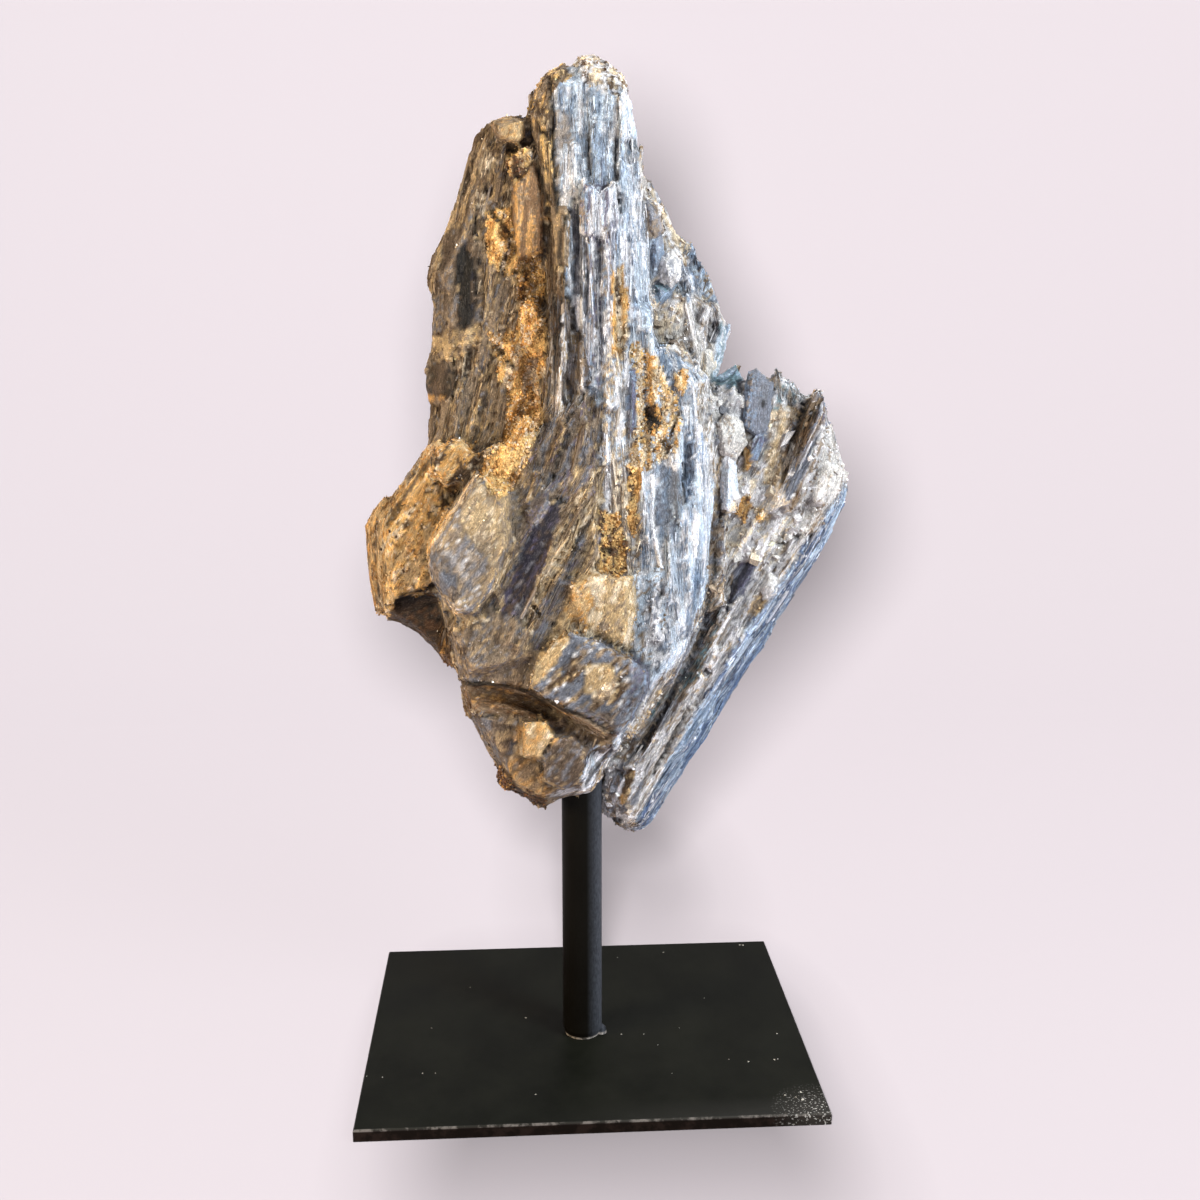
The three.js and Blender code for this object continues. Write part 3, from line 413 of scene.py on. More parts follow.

# Cracks and joints, carved into the skin and darkened with painted shade: a half width and a line in the
# same millimetres
CRACKS_AND_PAINTED_SHADOWS = read_lines("""
0.8: -9.8,300 -8.6,292 -8.3,280 -8.5,270 -7.4,263
0.7: -4.6,262 -6.6,258 -6.9,250 -4.6,240 -3.2,236 -2.4,230
0.7: 0.2,256 0.7,248 0.8,240 0.6,235
0.5: 1.8,286 1.4,277 2,274
0.7: 9.4,284 9.2,276 10.2,270 10.6,263
0.6: -1.8,270 -3.6,264 -5.4,261.6
1.2: -12,286 -10.4,284 -9.6,286
0.8: -11.6,250 -11,262 -12.2,272 -14.4,280 -15.6,288
1.3: -26.6,263 -23.6,260 -21,257
1.3: -21.4,280 -19.6,280
1.1: -20,273 -18,272.6
1.1: -28,269.6 -26.8,268.4
0.5: -31.2,262 -30.8,250 -31.2,240 -31,234
0.9: -20.6,247 -18,246
1.2: -26,225 -24,223
1.3: -22.4,220.6 -21,219
0.6: -38.6,222 -38.2,214 -39.6,209
0.9: -45,193 -48.6,188.6 -52,183.6 -57,177 -59.6,172
0.9: -44.6,184 -42.4,180 -41,178
0.7: -46.4,152.4 -54,151 -60,146.6
0.6: -48.8,165 -48.6,158 -46.8,152
1.3: -8.6,179.4 -5.4,178.6
1: -28,147 -27,146
0.9: -2,166.6 -3.6,162
0.7: -15.6,145.6 -13,142
0.8: -11.6,141 -9,139.8
0.7: -4,200 -7,194 -9.6,186
0.7: 2,216 -1,209 -5,203
0.8: -1.4,137.8 4,136.4 9,133.6 15,130.8
0.9: -39,121.8 -28,120.8 -20,119.6 -12,115.6 -4,111.8 4,108 9.4,104
0.5: -37,110.8 -24,110.4 -20,110.2 -12,109.6
0.4: -9,104.6 -13.4,97 -14,91
0.5: 41.4,178 41.4,170 40.6,158 38.8,148
0.8: 38.8,148 38,140 34.6,131 29.6,121 24,110 18,100 13,95
1.2: 67,208 64,199 61.6,190 60.6,184
0.5: 70,208 66,197 63.6,188
1: 50.4,158 46.4,151
0.6: 48,153 45,145 41,137
0.35: 38.8,231 37.4,227.4
0.5: 31.8,225 33.4,219
0.9: 54.6,208.6 54.4,207.6
1.5: 19.4,205 21.4,203
0.8: 28.6,206 26.6,199
0.8: 24,197 25,193
0.9: 5.6,163.6 7.6,163.2
0.6: 30.6,190 30.8,176
0.8: 24.8,153 23.8,149
0.6: 9.6,100.6 3.6,93 0.4,86.6
1.1: 11.4,92.4 12,90.6
0.7: 33,112 27,101 22,90
0.8: 5.6,76 12,75
0.6: 65,167 69,168 73,165
0.6: 60,165 64,166
""")

# Painted highlights along edges that catch the light, and a few painted glints: a half width and a line
PAINTED_HIGHLIGHT_LINES = read_lines("""
0.6: -33.6,185.6 -38,178.6 -42,171.8 -46.6,165
0.6: -1.6,270 2,272.8 4,273.8 5.8,272
0.5: -5.4,138.2 -1.4,136.4 1,135.6
0.4: 14.8,130.6 14,121 10.6,112.6 8,107
0.5: 21,124.6 20.8,119 16.4,110.6
0.4: -9.8,179 -12.8,174.4 -14.6,171
0.35: -12.6,166 -18,156.4 -23,149
0.9: -40.6,163 -38,157.6 -36.4,154
1: -35.6,163.4 -34.6,160.6
0.5: 66.4,189 72.4,203
0.6: 61,151 54,140.6 48,131 40.6,118
0.6: -14,214 -13.6,205 -18,192 -22,183
0.4: -11,104 -3,105.6 1.6,100
0.4: -22,109 -23,97 -21,92
0.5: 6,224 8,206 6.6,190
0.4: 11.6,206 12,192
0.6: 20.6,100 27,112 31,121
0.7: 9.6,103.6 13,106 15.6,108
0.6: 36.4,140 32.6,130 27.6,120.4 22,110 16.4,101.6 10.6,96 6.6,90 2.6,86
""")

# Solids that close gaps of the CAD stone between its large parts: the depth in millimetres of their front
# along Y, and four corners on the same plane. Each is as thick as the others.
FILLERS = read_lines("""
-14.5: 39,193 44.4,193 44.4,146 37,141
-8: 19.6,242 31.4,240 34.6,222 20.6,220
-26.8: -1,213.4 5.8,213.4 7,199 1.6,201
-2.6: 31,239 35.6,238 35.6,229 31.5,229
-0.6: 36.8,238 40.2,237 40.2,225 37,226
""")
FILLER_THICKNESS = 9.0

# Regions that are single crystals standing proud of the rest: how proud in millimetres, and how domed
CRYSTALS = {
    "orange plate": (0.7, 0.3), "bulge ridge": (0.9, 0.4), "window's left face": (0.5, 0.1),
    "tan lath": (0.9, 0.2), "bright splinter": (0.7, 0.2), "grey lump": (1.2, 0.7), "blue lump": (1.2, 0.7),
    "quartz knob": (1.6, 1.2), "knob's blue foot": (0.8, 0.4), "shoulder's pink face": (0.9, 0.5),
    "shoulder edge": (0.5, 0.3), "ridge's white line": (0.6, 0.3), "violet lath": (0.7, 0.2),
    "teal shard": (0.7, 0.3), "round plate": (1.0, 0.4), "pink quartz": (1.6, 1.0), "lens blade": (1.8, 0.8),
    "tan chip": (1.2, 0.5), "blue lens": (1.4, 0.8), "slab's quartz chips": (1.1, 0.8),
    "slab's violet blades": (0.4, 0.1),
}

# Pale specks of dust on the plate: x and y in millimetres, and their sizes
DUST = groups("""
-50.8,-0.2,0.42 -19.8,4.7,0.4 11.4,-7.7,0.35 18.7,-7.9,0.3 30.7,-4.8,0.25 31.3,48.1,0.4 13.9,45.1,0.3
60.4,52,0.6 61.5,51.9,0.5 62.3,-10.3,0.4 44.2,-24.7,0.35 50.1,-26.2,0.5 58.7,-25.6,0.6 59.6,-25.2,0.4
25.3,-31.4,0.3 58,-44.9,0.5 -17,-40.1,0.35 -52,-26.5,0.3 -48,-26.7,0.35 63.2,-43.6,0.6 62.8,-47.6,0.7
61.2,-46.2,0.4 -69.1,-27.1,0.35 -64.2,-28,0.3 22.6,-14.8,0.25 0.5,13,0.25 41.8,13.9,0.3 -39,26.3,0.25
""")


def linear(display):
    """Display colour values as the linear ones that shaders use."""
    value = np.asarray(display, float)
    return np.where(value <= 0.04045, value / 12.92, ((value + 0.055) / 1.055) ** 2.4)


def unit(vectors):
    """Vectors at length 1."""
    return vectors / np.maximum(np.linalg.norm(vectors, axis=1), 1e-9)[:, None]


def turned(vectors, axes, angles):
    """Vectors turned about unit axes by angles in radians."""
    cosine = np.cos(angles)[:, None]
    sine = np.sin(angles)[:, None]
    dot = np.sum(vectors * axes, axis=1)[:, None]
    return vectors * cosine + np.cross(axes, vectors) * sine + axes * dot * (1 - cosine)


def between(low, high, count, power=1.0):
    """Random numbers in a range, more of them low where the power is over 1."""
    return low + (high - low) * rng.random(count) ** power


# The start and the two multipliers of the hash
HASH_START = 2166136261
HASH_STEP = np.uint32(16777619)
HASH_SPREAD = np.uint32(2246822519)


def hashed(*cells):
    """A repeatable random number from 0 to 1 for each whole-number cell."""
    mixed = np.full(np.shape(cells[0]), HASH_START, np.uint32)
    with np.errstate(over="ignore"):
        for cell in cells:
            mixed = (mixed ^ np.asarray(cell, np.int64).astype(np.uint32)) * HASH_STEP
            mixed = (mixed ^ (mixed >> np.uint32(15))) * HASH_SPREAD
        mixed ^= mixed >> np.uint32(13)
    return mixed.astype(float) / np.iinfo(np.uint32).max


def value_noise(points, scale, seed=0):
    """Smooth noise from 0 to 1 with features about one scale apart."""
    scaled = points / scale
    cell = np.floor(scaled).astype(np.int64)
    blend = scaled - cell
    blend = blend * blend * (3 - 2 * blend)
    total = np.zeros(len(points))
    for corner in range(8):
        offset = np.array([corner & 1, corner >> 1 & 1, corner >> 2 & 1])
        weight = np.prod(np.where(offset, blend, 1 - blend), axis=1)
        total += weight * hashed(*(cell + offset).T, np.full(len(points), seed))
    return total


def sighted(points):
    """Where the eye sees points of the stone on the upright plane through the plate's centre."""
    reach = (points[:, 1] - EYE[1]) / -EYE[1]
    return EYE_XZ + (points[:, [0, 2]] - EYE_XZ) / reach[:, None]


def from_eye(spots, depth):
    """Points at a depth along Y that the eye sees at spots of that plane."""
    reach = (depth - EYE[1]) / -EYE[1]
    flat = EYE_XZ + (spots - EYE_XZ) * reach[:, None]
    return np.stack([flat[:, 0], depth, flat[:, 1]], axis=1)


def within(outline, spots):
    """Which spots lie inside an outline."""
    x, z = spots.T
    inside = np.zeros(len(spots), bool)
    for (ax, az), (bx, bz) in zip(outline, outline[1:] + outline[:1]):
        if az != bz:
            inside ^= ((az > z) != (bz > z)) & (x < (bx - ax) * (z - az) / (bz - az) + ax)
    return inside


def away_from(line, spots):
    """The distance of each spot from the nearest stretch of a line."""
    away = np.full(len(spots), np.inf)
    for start, end in zip(line[:-1], line[1:]):
        way = end - start
        share = np.clip((spots - start) @ way / (way @ way), 0, 1)
        away = np.minimum(away, np.linalg.norm(spots - start - share[:, None] * way, axis=1))
    return away


# Where the back starts, and how far its border wanders, in millimetres along Y
BACK_FROM = 5.0
BACK_WANDER = 5

# How ragged the borders of regions and of cracks are, in x and z
BORDER_FRAY = np.array([1.5, 3.0])
CRACK_FRAY = np.array([0.9, 0.9])

# How much steeper a crack's sides are than straight slopes to its middle, which leaves it a floor
CRACK_CORE = 1.6

ALL_REGIONS = [*REGIONS.values(), *BACK_REGIONS.values()]
GRAIN = np.radians([region["grain"] for region in ALL_REGIONS])
KIND = np.array([region["kind"] for region in ALL_REGIONS])
SMOOTH = KIND == "smooth"
BLADED = np.isin(KIND, ("fibre", "coarse"))


def per_region(field):
    """One setting of each region's kind, as an array over the regions."""
    return np.array([KINDS[kind][field] for kind in KIND])


# Which regions are mostly crumbs
CRUMBLY = per_region("crumbs") > 0.2


def frayed(points, sizes, seed):
    """Shifts in millimetres that make borders ragged."""
    shifts = []
    for i in (seed, seed + 1):
        shifts.append(value_noise(points, 3.6, i) + 0.7 * value_noise(points, 1.3, i + 2) - 0.85)
    return np.stack(shifts, axis=1) * sizes


def region_of(points):
    """The index of the region that each point of the surface lies in, with frayed borders."""
    fray = frayed(points, BORDER_FRAY, 5)
    behind = points[:, 1] > BACK_FROM + BACK_WANDER * (value_noise(points, 9.0, 9) - 0.5)
    front = sighted(points) + fray
    flat = points[:, [0, 2]] + fray
    index = np.zeros(len(points), int)
    for i, region in enumerate(ALL_REGIONS):
        spots, side = (front, ~behind) if i < len(REGIONS) else (flat, behind)
        index[within(region["outline"], spots) & side] = i
    return index


def nearness(lines, points):
    """How near each point of the front is to the middle of any of the lines: 0 outside them, 1 on them."""
    spots = sighted(points) + frayed(points, CRACK_FRAY, 21)
    near = np.zeros(len(points))
    for line, half_width in lines:
        near = np.maximum(near, 1 - away_from(np.array(line), spots) / half_width)
    near = np.clip(near * CRACK_CORE, 0, 1)
    return np.where(points[:, 1] < BACK_FROM, near * near * (3 - 2 * near), 0)


def tints(index, pick):
    """A colour of each point's region, chosen by a number from 0 to 1."""
    colour = np.zeros((len(index), 3))
    contrast = per_region("contrast")
    for i in np.unique(index):
        shares = ALL_REGIONS[i]["shares"]
        weights = list(shares.values())
        levels = np.cumsum(weights) / sum(weights)
        options = linear([PALETTE[name] for name in shares])
        mean = np.average(options, axis=0, weights=weights)
        options = mean + (options - mean) * contrast[i]
        here = index == i
        colour[here] = options[np.searchsorted(levels, pick[here]).clip(0, len(options) - 1)]
    return colour


def along_across(points, index):
    """Each point's place along and across the grain of its region, as seen from the front."""
    x, z = points[:, 0], points[:, 2]
    angle = GRAIN[index]
    return x * np.cos(angle) + z * np.sin(angle), z * np.cos(angle) - x * np.sin(angle)


def grain_place(points, index):
    """Each point's place along and across the grain, and in depth."""
    return np.stack([*along_across(points, index), points[:, 1]], axis=1)


def streaks(points, index, long, wide, seed):
    """Noise from 0 to 1, evenly spread, in streaks that run along the grain."""
    along, across = along_across(points, index)
    total = np.zeros(len(points))
    for level, weight in enumerate((1.0, 0.7, 0.5)):
        size = 0.45 ** level
        place = [along / (long * size), across / (wide * size), points[:, 1] / (wide * size * 1.5)]
        total += weight * (value_noise(np.stack(place, axis=1), 1.0, seed + level) - 0.5)
    return 0.5 + 0.5 * np.tanh(total * 3.6)


def blade_tints(points, index, proud):
    """Stone colour at points: region colour streaks, painted shade in crevices, painted highlights on edges.
    """
    pick = streaks(points, index, long=14.0, wide=1.7, seed=40) + rng.normal(0, 0.1, len(points))
    value = 0.76 + 0.46 * streaks(points, index, long=9.0, wide=0.6, seed=60)
    # Painted shade in hollows and painted highlight on ridges, by how proud the surface is; less shade where
    # crumbly
    deepest_painted_shade = np.where(CRUMBLY[index], 0.78, 0.5)
    wear_and_painted_light = np.clip(0.98 + 0.6 * proud, deepest_painted_shade, 1.3)
    # Painted shade along cracks and joints, and painted highlights along the listed edges
    dark = nearness(CRACKS_AND_PAINTED_SHADOWS, points)
    bright = nearness(PAINTED_HIGHLIGHT_LINES, points)[:, None]
    stain = 0.88 + 0.3 * value_noise(points, 4.5, 70) - 0.12 * value_noise(points, 1.8, 71)
    colour = tints(index, np.clip(pick, 0, 1)) * (value * stain * wear_and_painted_light * (1 - 0.85 * dark))[:, None]
    return colour * (1 + 0.35 * bright) + 0.16 * bright


# The blades' steps: each level's width, length and rise in millimetres
BLADE_STEPS = ((6.5, 44.0, 1.2), (2.8, 20.0, 0.65), (1.3, 9.0, 0.35))


def relief(points, index):
    """Height in millimetres of the stepped blades that run along the grain."""
    along, across = along_across(points, index)
    sway = value_noise(points * [0.3, 1, 0.12], 4.0, 3) - 0.5
    height = np.zeros(len(points))
    for level, (width, length, rise) in enumerate(BLADE_STEPS):
        lane = (across + 0.35 * points[:, 1]) / width + 0.5 * sway + 17 * level
        row = np.floor(lane)
        segment = np.floor(along / length + 3 * hashed(row, np.full(len(row), level)))
        step = hashed(row, segment, np.full(len(row), level + 8)) - 0.5
        slope = (lane - row - 0.5) * (hashed(row, segment, np.full(len(row), level + 20)) - 0.5)
        height += rise * (step + slope)
    return height


def placed(name, data, place=(0, 0, 0)):
    """A new object in the scene, at a place in metres."""
    made = bpy.data.objects.new(name, data)
    made.location = place
    bpy.context.scene.collection.objects.link(made)
    return made


# How a mesh keeps the values of its points: their type, and the name that they are set by
POINT_VALUES = {
    "tint": ("FLOAT_COLOR", "color"),
    "place": ("FLOAT_VECTOR", "vector"),
    "gloss": ("FLOAT", "value"),
}


def mesh_object(name, points, faces, slot_name, material, smooth=False, **values_of):
    """A piece from points in millimetres, faces with as many corners each, and values of the points."""
    mesh = bpy.data.meshes.new(name)
    corners = faces.shape[1]
    mesh.vertices.add(len(points))
    mesh.vertices.foreach_set("co", (points * MM).astype(np.float32).ravel())
    mesh.loops.add(faces.size)
    mesh.loops.foreach_set("vertex_index", faces.astype(np.int32).ravel())
    mesh.polygons.add(len(faces))
    mesh.polygons.foreach_set("loop_start", np.arange(0, faces.size, corners, dtype=np.int32))
    mesh.polygons.foreach_set("use_smooth", np.full(len(faces), smooth))
    mesh.update(calc_edges=True)
    for field, values in values_of.items():
        if field == "tint":
            values = np.concatenate([values, np.ones((len(values), 1))], axis=1)
        kind, setting = POINT_VALUES[field]
        mesh.attributes.new(field, kind, "POINT").data.foreach_set(setting, values.ravel())
    mesh.materials.append(material)
    piece = placed(name, mesh)
    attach(piece, "root")
    return piece


class Shader:
    """A material's node tree, built by short calls."""

    def __init__(self, name):
        self.material = bpy.data.materials.new(name)
        self.material.use_nodes = True
        self.tree = self.material.node_tree
        self.shader = self.tree.nodes["Principled BSDF"]

    def put(self, socket, value):
        """Sets a socket to a value, or links it to another node's socket."""
        if isinstance(value, bpy.types.NodeSocket):
            self.tree.links.new(value, socket)
        else:
            socket.default_value = value

    def surface(self, **inputs):
        """Sets inputs of the surface shader itself."""
        for key, value in inputs.items():
            self.put(self.shader.inputs[key.replace("_", " ")], value)

    def node(self, kind, settings=None, **inputs):
        """A node with its settings and with the values or links of its inputs."""
        made = self.tree.nodes.new("ShaderNode" + kind)
        for key, value in (settings or {}).items():
            setattr(made, key, value)
        for key, value in inputs.items():
            self.put(made.inputs[key.replace("_", " ")], value)
        return made

    def attribute(self, name, output):
        """A value that the mesh keeps for each point."""
        return self.node("Attribute", dict(attribute_name=name)).outputs[output]

    def place(self):
        """The place on the object in metres, and its x, y and z."""
        place = self.node("TexCoord").outputs["Object"]
        return place, *self.node("SeparateXYZ", Vector=place).outputs

    def ramp(self, value, *stops):
        """A colour ramp over stops of a position and a colour or grey."""
        made = self.node("ValToRGB", Fac=value)
        elements = made.color_ramp.elements
        while len(elements) < len(stops):
            elements.new(0.5)
        for element, (position, colour) in zip(elements, stops):
            element.position = position
            element.color = (*colour, 1) if isinstance(colour, tuple) else (colour, colour, colour, 1)
        return made.outputs["Color"]

    def fade(self, value, low, high):
        """A value's share of the way from one bound to the other."""
        return self.node("MapRange", Value=value, From_Min=low, From_Max=high).outputs["Result"]

    def mix(self, first, second, factor=1.0, how="MIX"):
        """Two colours mixed."""
        made = self.node("Mix", dict(data_type="RGBA", blend_type=how))
        for slot, value in ((0, factor), (6, first), (7, second)):
            self.put(made.inputs[slot], value)
        return made.outputs[2]

    def shaded(self, colour, shade, share=1.0):
        """A colour multiplied by another, wholly or in part."""
        return self.mix(colour, shade, share, "MULTIPLY")

    def joined(self, kind, operation, values):
        """A node that puts numbers or vectors together."""
        made = self.node(kind, dict(operation=operation))
        for slot, value in enumerate(values):
            self.put(made.inputs[slot], value)
        return made

    def math(self, operation, *values):
        """Numbers put together."""
        return self.joined("Math", operation, values).outputs[0]

    def times(self, *values):
        """Two numbers multiplied."""
        return self.math("MULTIPLY", *values)

    def vector(self, operation, output, *values):
        """Vectors put together, with a vector or a value as the result."""
        return self.joined("VectorMath", operation, values).outputs[output]

    def noise(self, stretch, detail=3.0, roughness=0.6, place=None):
        """Noise over a place in metres, or in millimetres where the mesh keeps it, stretched."""
        if place is None:
            place = self.node("TexCoord").outputs["Object"]
        if not isinstance(stretch, tuple):
            stretch = (stretch, stretch, stretch)
        mapping = self.node("Mapping", Vector=place, Scale=stretch).outputs["Vector"]
        made = self.node("TexNoise", Vector=mapping, Scale=1.0, Detail=detail, Roughness=roughness)
        return made.outputs["Fac"]

    def bump(self, height, strength, distance):
        """Fine relief."""
        made = self.node("Bump", Height=height, Strength=strength, Distance=distance)
        self.surface(Normal=made.outputs["Normal"])


def stone_material():
    """Kyanite and its matrix: each blade's own tint, streaks and pale scratches along it, and specks."""
    make = Shader("kyanite stone")
    place = make.attribute("place", "Vector")
    gloss = make.attribute("gloss", "Fac")
    lines = make.noise((0.5, 5.5, 5.5), 3, 0.7, place)
    mottle = make.noise((1.3, 2.0, 2.0), 4, 0.7, place)
    scratch = make.math("SUBTRACT", make.noise((0.3, 1.5, 1.5), 2, 0.6, place), 0.5)
    specks = make.noise(2600, 1, 0.5)
    colour = make.shaded(make.attribute("tint", "Color"), make.ramp(lines, (0.34, 0.5), (0.64, 1.3)), 0.85)
    colour = make.shaded(colour, make.ramp(mottle, (0.3, (0.6, 0.58, 0.55)), (0.66, 1.15)), 0.9)
    colour = make.shaded(colour, make.ramp(specks, (0.26, 0.3), (0.34, 1.0)), 0.8)
    pale = make.mix(make.shaded(colour, (2.0, 1.95, 1.85, 1)), (0.06, 0.055, 0.05, 1), 1.0, "ADD")
    colour = make.mix(colour, pale, make.ramp(make.math("ABSOLUTE", scratch), (0.006, 0.9), (0.022, 0.0)))
    colour = make.mix(colour, pale, make.ramp(specks, (0.68, 0.0), (0.75, 0.6)))
    dull = make.math("SUBTRACT", make.math("MULTIPLY_ADD", mottle, 0.3, 0.42), gloss)
    shine = make.math("MULTIPLY_ADD", gloss, 1.3, 0.2)
    make.surface(Base_Color=colour, Roughness=dull, Specular_IOR_Level=shine)
    make.bump(make.mix(lines, mottle, 0.4), 0.9, 0.0004)
    return make.material


def crumb_material():
    """Ochre grains: earthy and granular, some of them glassy."""
    make = Shader("ochre crumbs")
    grain = make.noise(1600, 4, 0.7)
    dirt = make.ramp(grain, (0.3, (0.62, 0.55, 0.5)), (0.68, 1.15))
    make.surface(Base_Color=make.shaded(make.attribute("tint", "Color"), dirt),
                 Roughness=make.math("SUBTRACT", 0.7, make.attribute("gloss", "Fac")))
    make.bump(grain, 0.6, 0.0004)
    return make.material


def flake_material():
    """Mica flakes: pale, thin and shiny."""
    make = Shader("mica flakes")
    tint = make.attribute("tint", "Color")
    make.surface(Base_Color=tint, Roughness=0.24, Specular_IOR_Level=1.0, Metallic=0.25)
    return make.material


def paint_material(name, wear_and_painted_light):
    """Satin black paint on steel, with faint clouds, paler where its function says: wear, and the rod's
    painted sheen.
    """
    make = Shader(name)
    cloud = make.noise(45, 4, 0.6)
    base = make.ramp(cloud, (0.35, (0.0062, 0.0072, 0.0052)), (0.7, (0.0135, 0.0145, 0.0112)))
    dull = make.ramp(cloud, (0.3, 0.4), (0.7, 0.55))
    make.surface(Base_Color=wear_and_painted_light(make, base), Roughness=dull, Specular_IOR_Level=0.035)
    make.bump(make.noise(2400, 3, 0.6), 0.12, 0.0002)
    return make.material


# The plate in metres: half its depth, its thickness, and the middle of the scuffs at its front right corner
PLATE_HALF = 0.055
PLATE_TOP = 0.004
SCUFFED_CORNER = (0.066, -0.053, 0.004)


def worn_plate(make, base):
    """The plate's wear: a rubbed front rim, a scuffed front right corner, and a browner front side."""
    place, x, y, z = make.place()
    front = make.math("ADD", y, PLATE_HALF)
    from_rim = make.math("ADD", front, make.math("SUBTRACT", PLATE_TOP, z))
    chipped = make.ramp(make.noise(260, 4, 0.7), (0.47, 0.12), (0.6, 1.0))
    rim = make.times(make.fade(from_rim, 0.0007, 0.0002), chipped)
    near = make.fade(make.vector("DISTANCE", "Value", place, SCUFFED_CORNER), 0.014, 0.0)
    scuffs = make.ramp(make.noise(1500, 2, 0.5), (0.60, 0.0), (0.65, 1.0))
    rubbed = make.times(make.fade(front, 0.010, 0.0), make.fade(x, -0.02, 0.06))
    brown = make.mix((0.006, 0.004, 0.003, 1), (0.016, 0.010, 0.008, 1), chipped)
    colour = make.mix(base, (0.035, 0.034, 0.032, 1), make.times(rubbed, 0.7))
    colour = make.mix(colour, brown, make.fade(front, 0.0002, 0.00005))
    colour = make.mix(colour, (0.05, 0.046, 0.042, 1), make.times(near, 0.6))
    colour = make.mix(colour, (0.62, 0.60, 0.57, 1), make.times(near, scuffs))
    return make.mix(colour, (0.26, 0.235, 0.22, 1), rim)


def rod_wear_and_painted_sheen(make, base):
    """The rod: a painted bluish sheen down its right side, and a bright scuffed line of wear in front at its
    foot.
    """
    _, x, y, z = make.place()
    # Painted sheen: the cool light's reflection, painted down the rod's right side
    sheen = make.times(make.fade(x, 0.0, 0.0040), make.fade(x, 0.0072, 0.0054))
    grit = make.ramp(make.noise((1500, 1500, 700), 3, 0.6), (0.3, 0.6), (0.7, 1.2))
    colour = make.mix(base, (0.0045, 0.003, 0.0025, 1), 0.7)
    colour = make.mix(colour, make.shaded((0.062, 0.066, 0.078, 1), grit), sheen)
    foot = make.times(make.fade(z, 0.0050, 0.0044), make.fade(y, -0.0050, -0.0058))
    chipped = make.ramp(make.noise(500, 3, 0.6), (0.42, 0.2), (0.56, 1.0))
    return make.mix(colour, (0.5, 0.44, 0.40, 1), make.times(foot, chipped))


# How high the dust lies in millimetres, a little above the plate, and how many corners a speck has
DUST_HEIGHT = 4.02
DUST_CORNERS = 6


def dust():
    """Small pale flakes of dust and chipped paint on the plate."""
    points = []
    triangles = []
    for x, y, size in DUST:
        start = len(points)
        angles = np.sort(rng.uniform(0, 2 * math.pi, DUST_CORNERS))
        radii = size * rng.uniform(0.5, 1.0, DUST_CORNERS)
        points += [(x + r * math.cos(a), y + r * math.sin(a), DUST_HEIGHT) for a, r in zip(angles, radii)]
        points.append((x, y, DUST_HEIGHT + 0.25 * size))
        for i in range(DUST_CORNERS):
            triangles.append((start + i, start + (i + 1) % DUST_CORNERS, start + DUST_CORNERS))
    make = Shader("pale dust")
    shade = make.ramp(make.noise(900), (0.35, (0.45, 0.42, 0.36)), (0.65, (0.8, 0.78, 0.72)))
    make.surface(Base_Color=shade, Roughness=0.8)
    mesh_object("dust_specks", np.array(points), np.array(triangles), "black_paint", make.material)


def filled_stone():
    """The CAD stone's mesh with the fillers added to it."""
    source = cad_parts["kyanite"].data
    points = [tuple(vertex.co) for vertex in source.vertices]
    faces = [tuple(polygon.vertices) for polygon in source.polygons]
    box = [(3, 2, 1, 0), (4, 5, 6, 7), (1, 5, 4, 0), (2, 6, 5, 1), (3, 7, 6, 2), (0, 4, 7, 3)]
    for corners, depth in FILLERS:
        start = len(points)
        for y in (depth, depth + FILLER_THICKNESS):
            points += [tuple(point) for point in from_eye(np.array(corners), np.full(4, y)) * MM]
        faces += [tuple(start + corner for corner in face) for face in box]
    mesh = bpy.data.meshes.new("filled")
    mesh.from_pydata(points, [], faces)
    return mesh


# The side in millimetres of the small squares that the stone's surface is made of
SQUARE = 1.06


def stone_solid():
    """The CAD stone as an even mesh of small squares: points in millimetres, their normals, and faces."""
    raw = placed("kyanite_raw", filled_stone())
    remesh = raw.modifiers.new("remesh", "REMESH")
    remesh.mode = "VOXEL"
    remesh.voxel_size = SQUARE * MM
    made = bpy.data.meshes.new_from_object(raw.evaluated_get(bpy.context.evaluated_depsgraph_get()))
    bpy.data.objects.remove(raw)
    points, normals = np.empty((2, len(made.vertices), 3), np.float32)
    made.vertices.foreach_get("co", points.ravel())
    made.vertices.foreach_get("normal", normals.ravel())
    faces = np.empty((len(made.polygons), 4), np.int32)
    made.loops.foreach_get("vertex_index", faces.ravel())
    bpy.data.meshes.remove(made)
    return points.astype(float) / MM, normals.astype(float), faces


def smoothed(points, faces, rounds):
    """The points moved to the average of their neighbours, a number of times."""
    count = 2.0 * np.bincount(faces.ravel(), minlength=len(points))
    for _ in range(rounds):
        total = np.zeros_like(points)
        for i in range(4):
            ring = points[faces[:, (i + 1) % 4]] + points[faces[:, (i + 3) % 4]]
            for axis in range(3):
                total[:, axis] += np.bincount(faces[:, i], ring[:, axis], len(points))
        points = total / count[:, None]
    return points


def face_crosses(points, faces):
    """The normal of each square, twice as long as its area."""
    a, b, c, d = (points[faces[:, i]] for i in range(4))
    return np.cross(c - a, d - b)


def corner_normals(points, faces):
    """A normal for each point from the faces round it."""
    crosses = face_crosses(points, faces)
    normals = np.zeros_like(points)
    for i in range(4):
        np.add.at(normals, faces[:, i], crosses)
    return unit(normals)


# The skin's relief in millimetres: the height of its lumps where it is crumbly and elsewhere, the depth of
# its cracks, and how far it is set back under what lies on it
CRUMBLY_LUMPS = 1.6
OTHER_LUMPS = 0.3
CRACK_DEPTH = 1.1
SET_BACK = 0.5

# How much darker the skin is than what lies on it, a painted shade in the gaps under the laths, and how
# glossy it is where it is smooth and elsewhere
SKIN_SHADE = 0.85
SMOOTH_GLOSS = 0.12
SKIN_GLOSS = 0.05


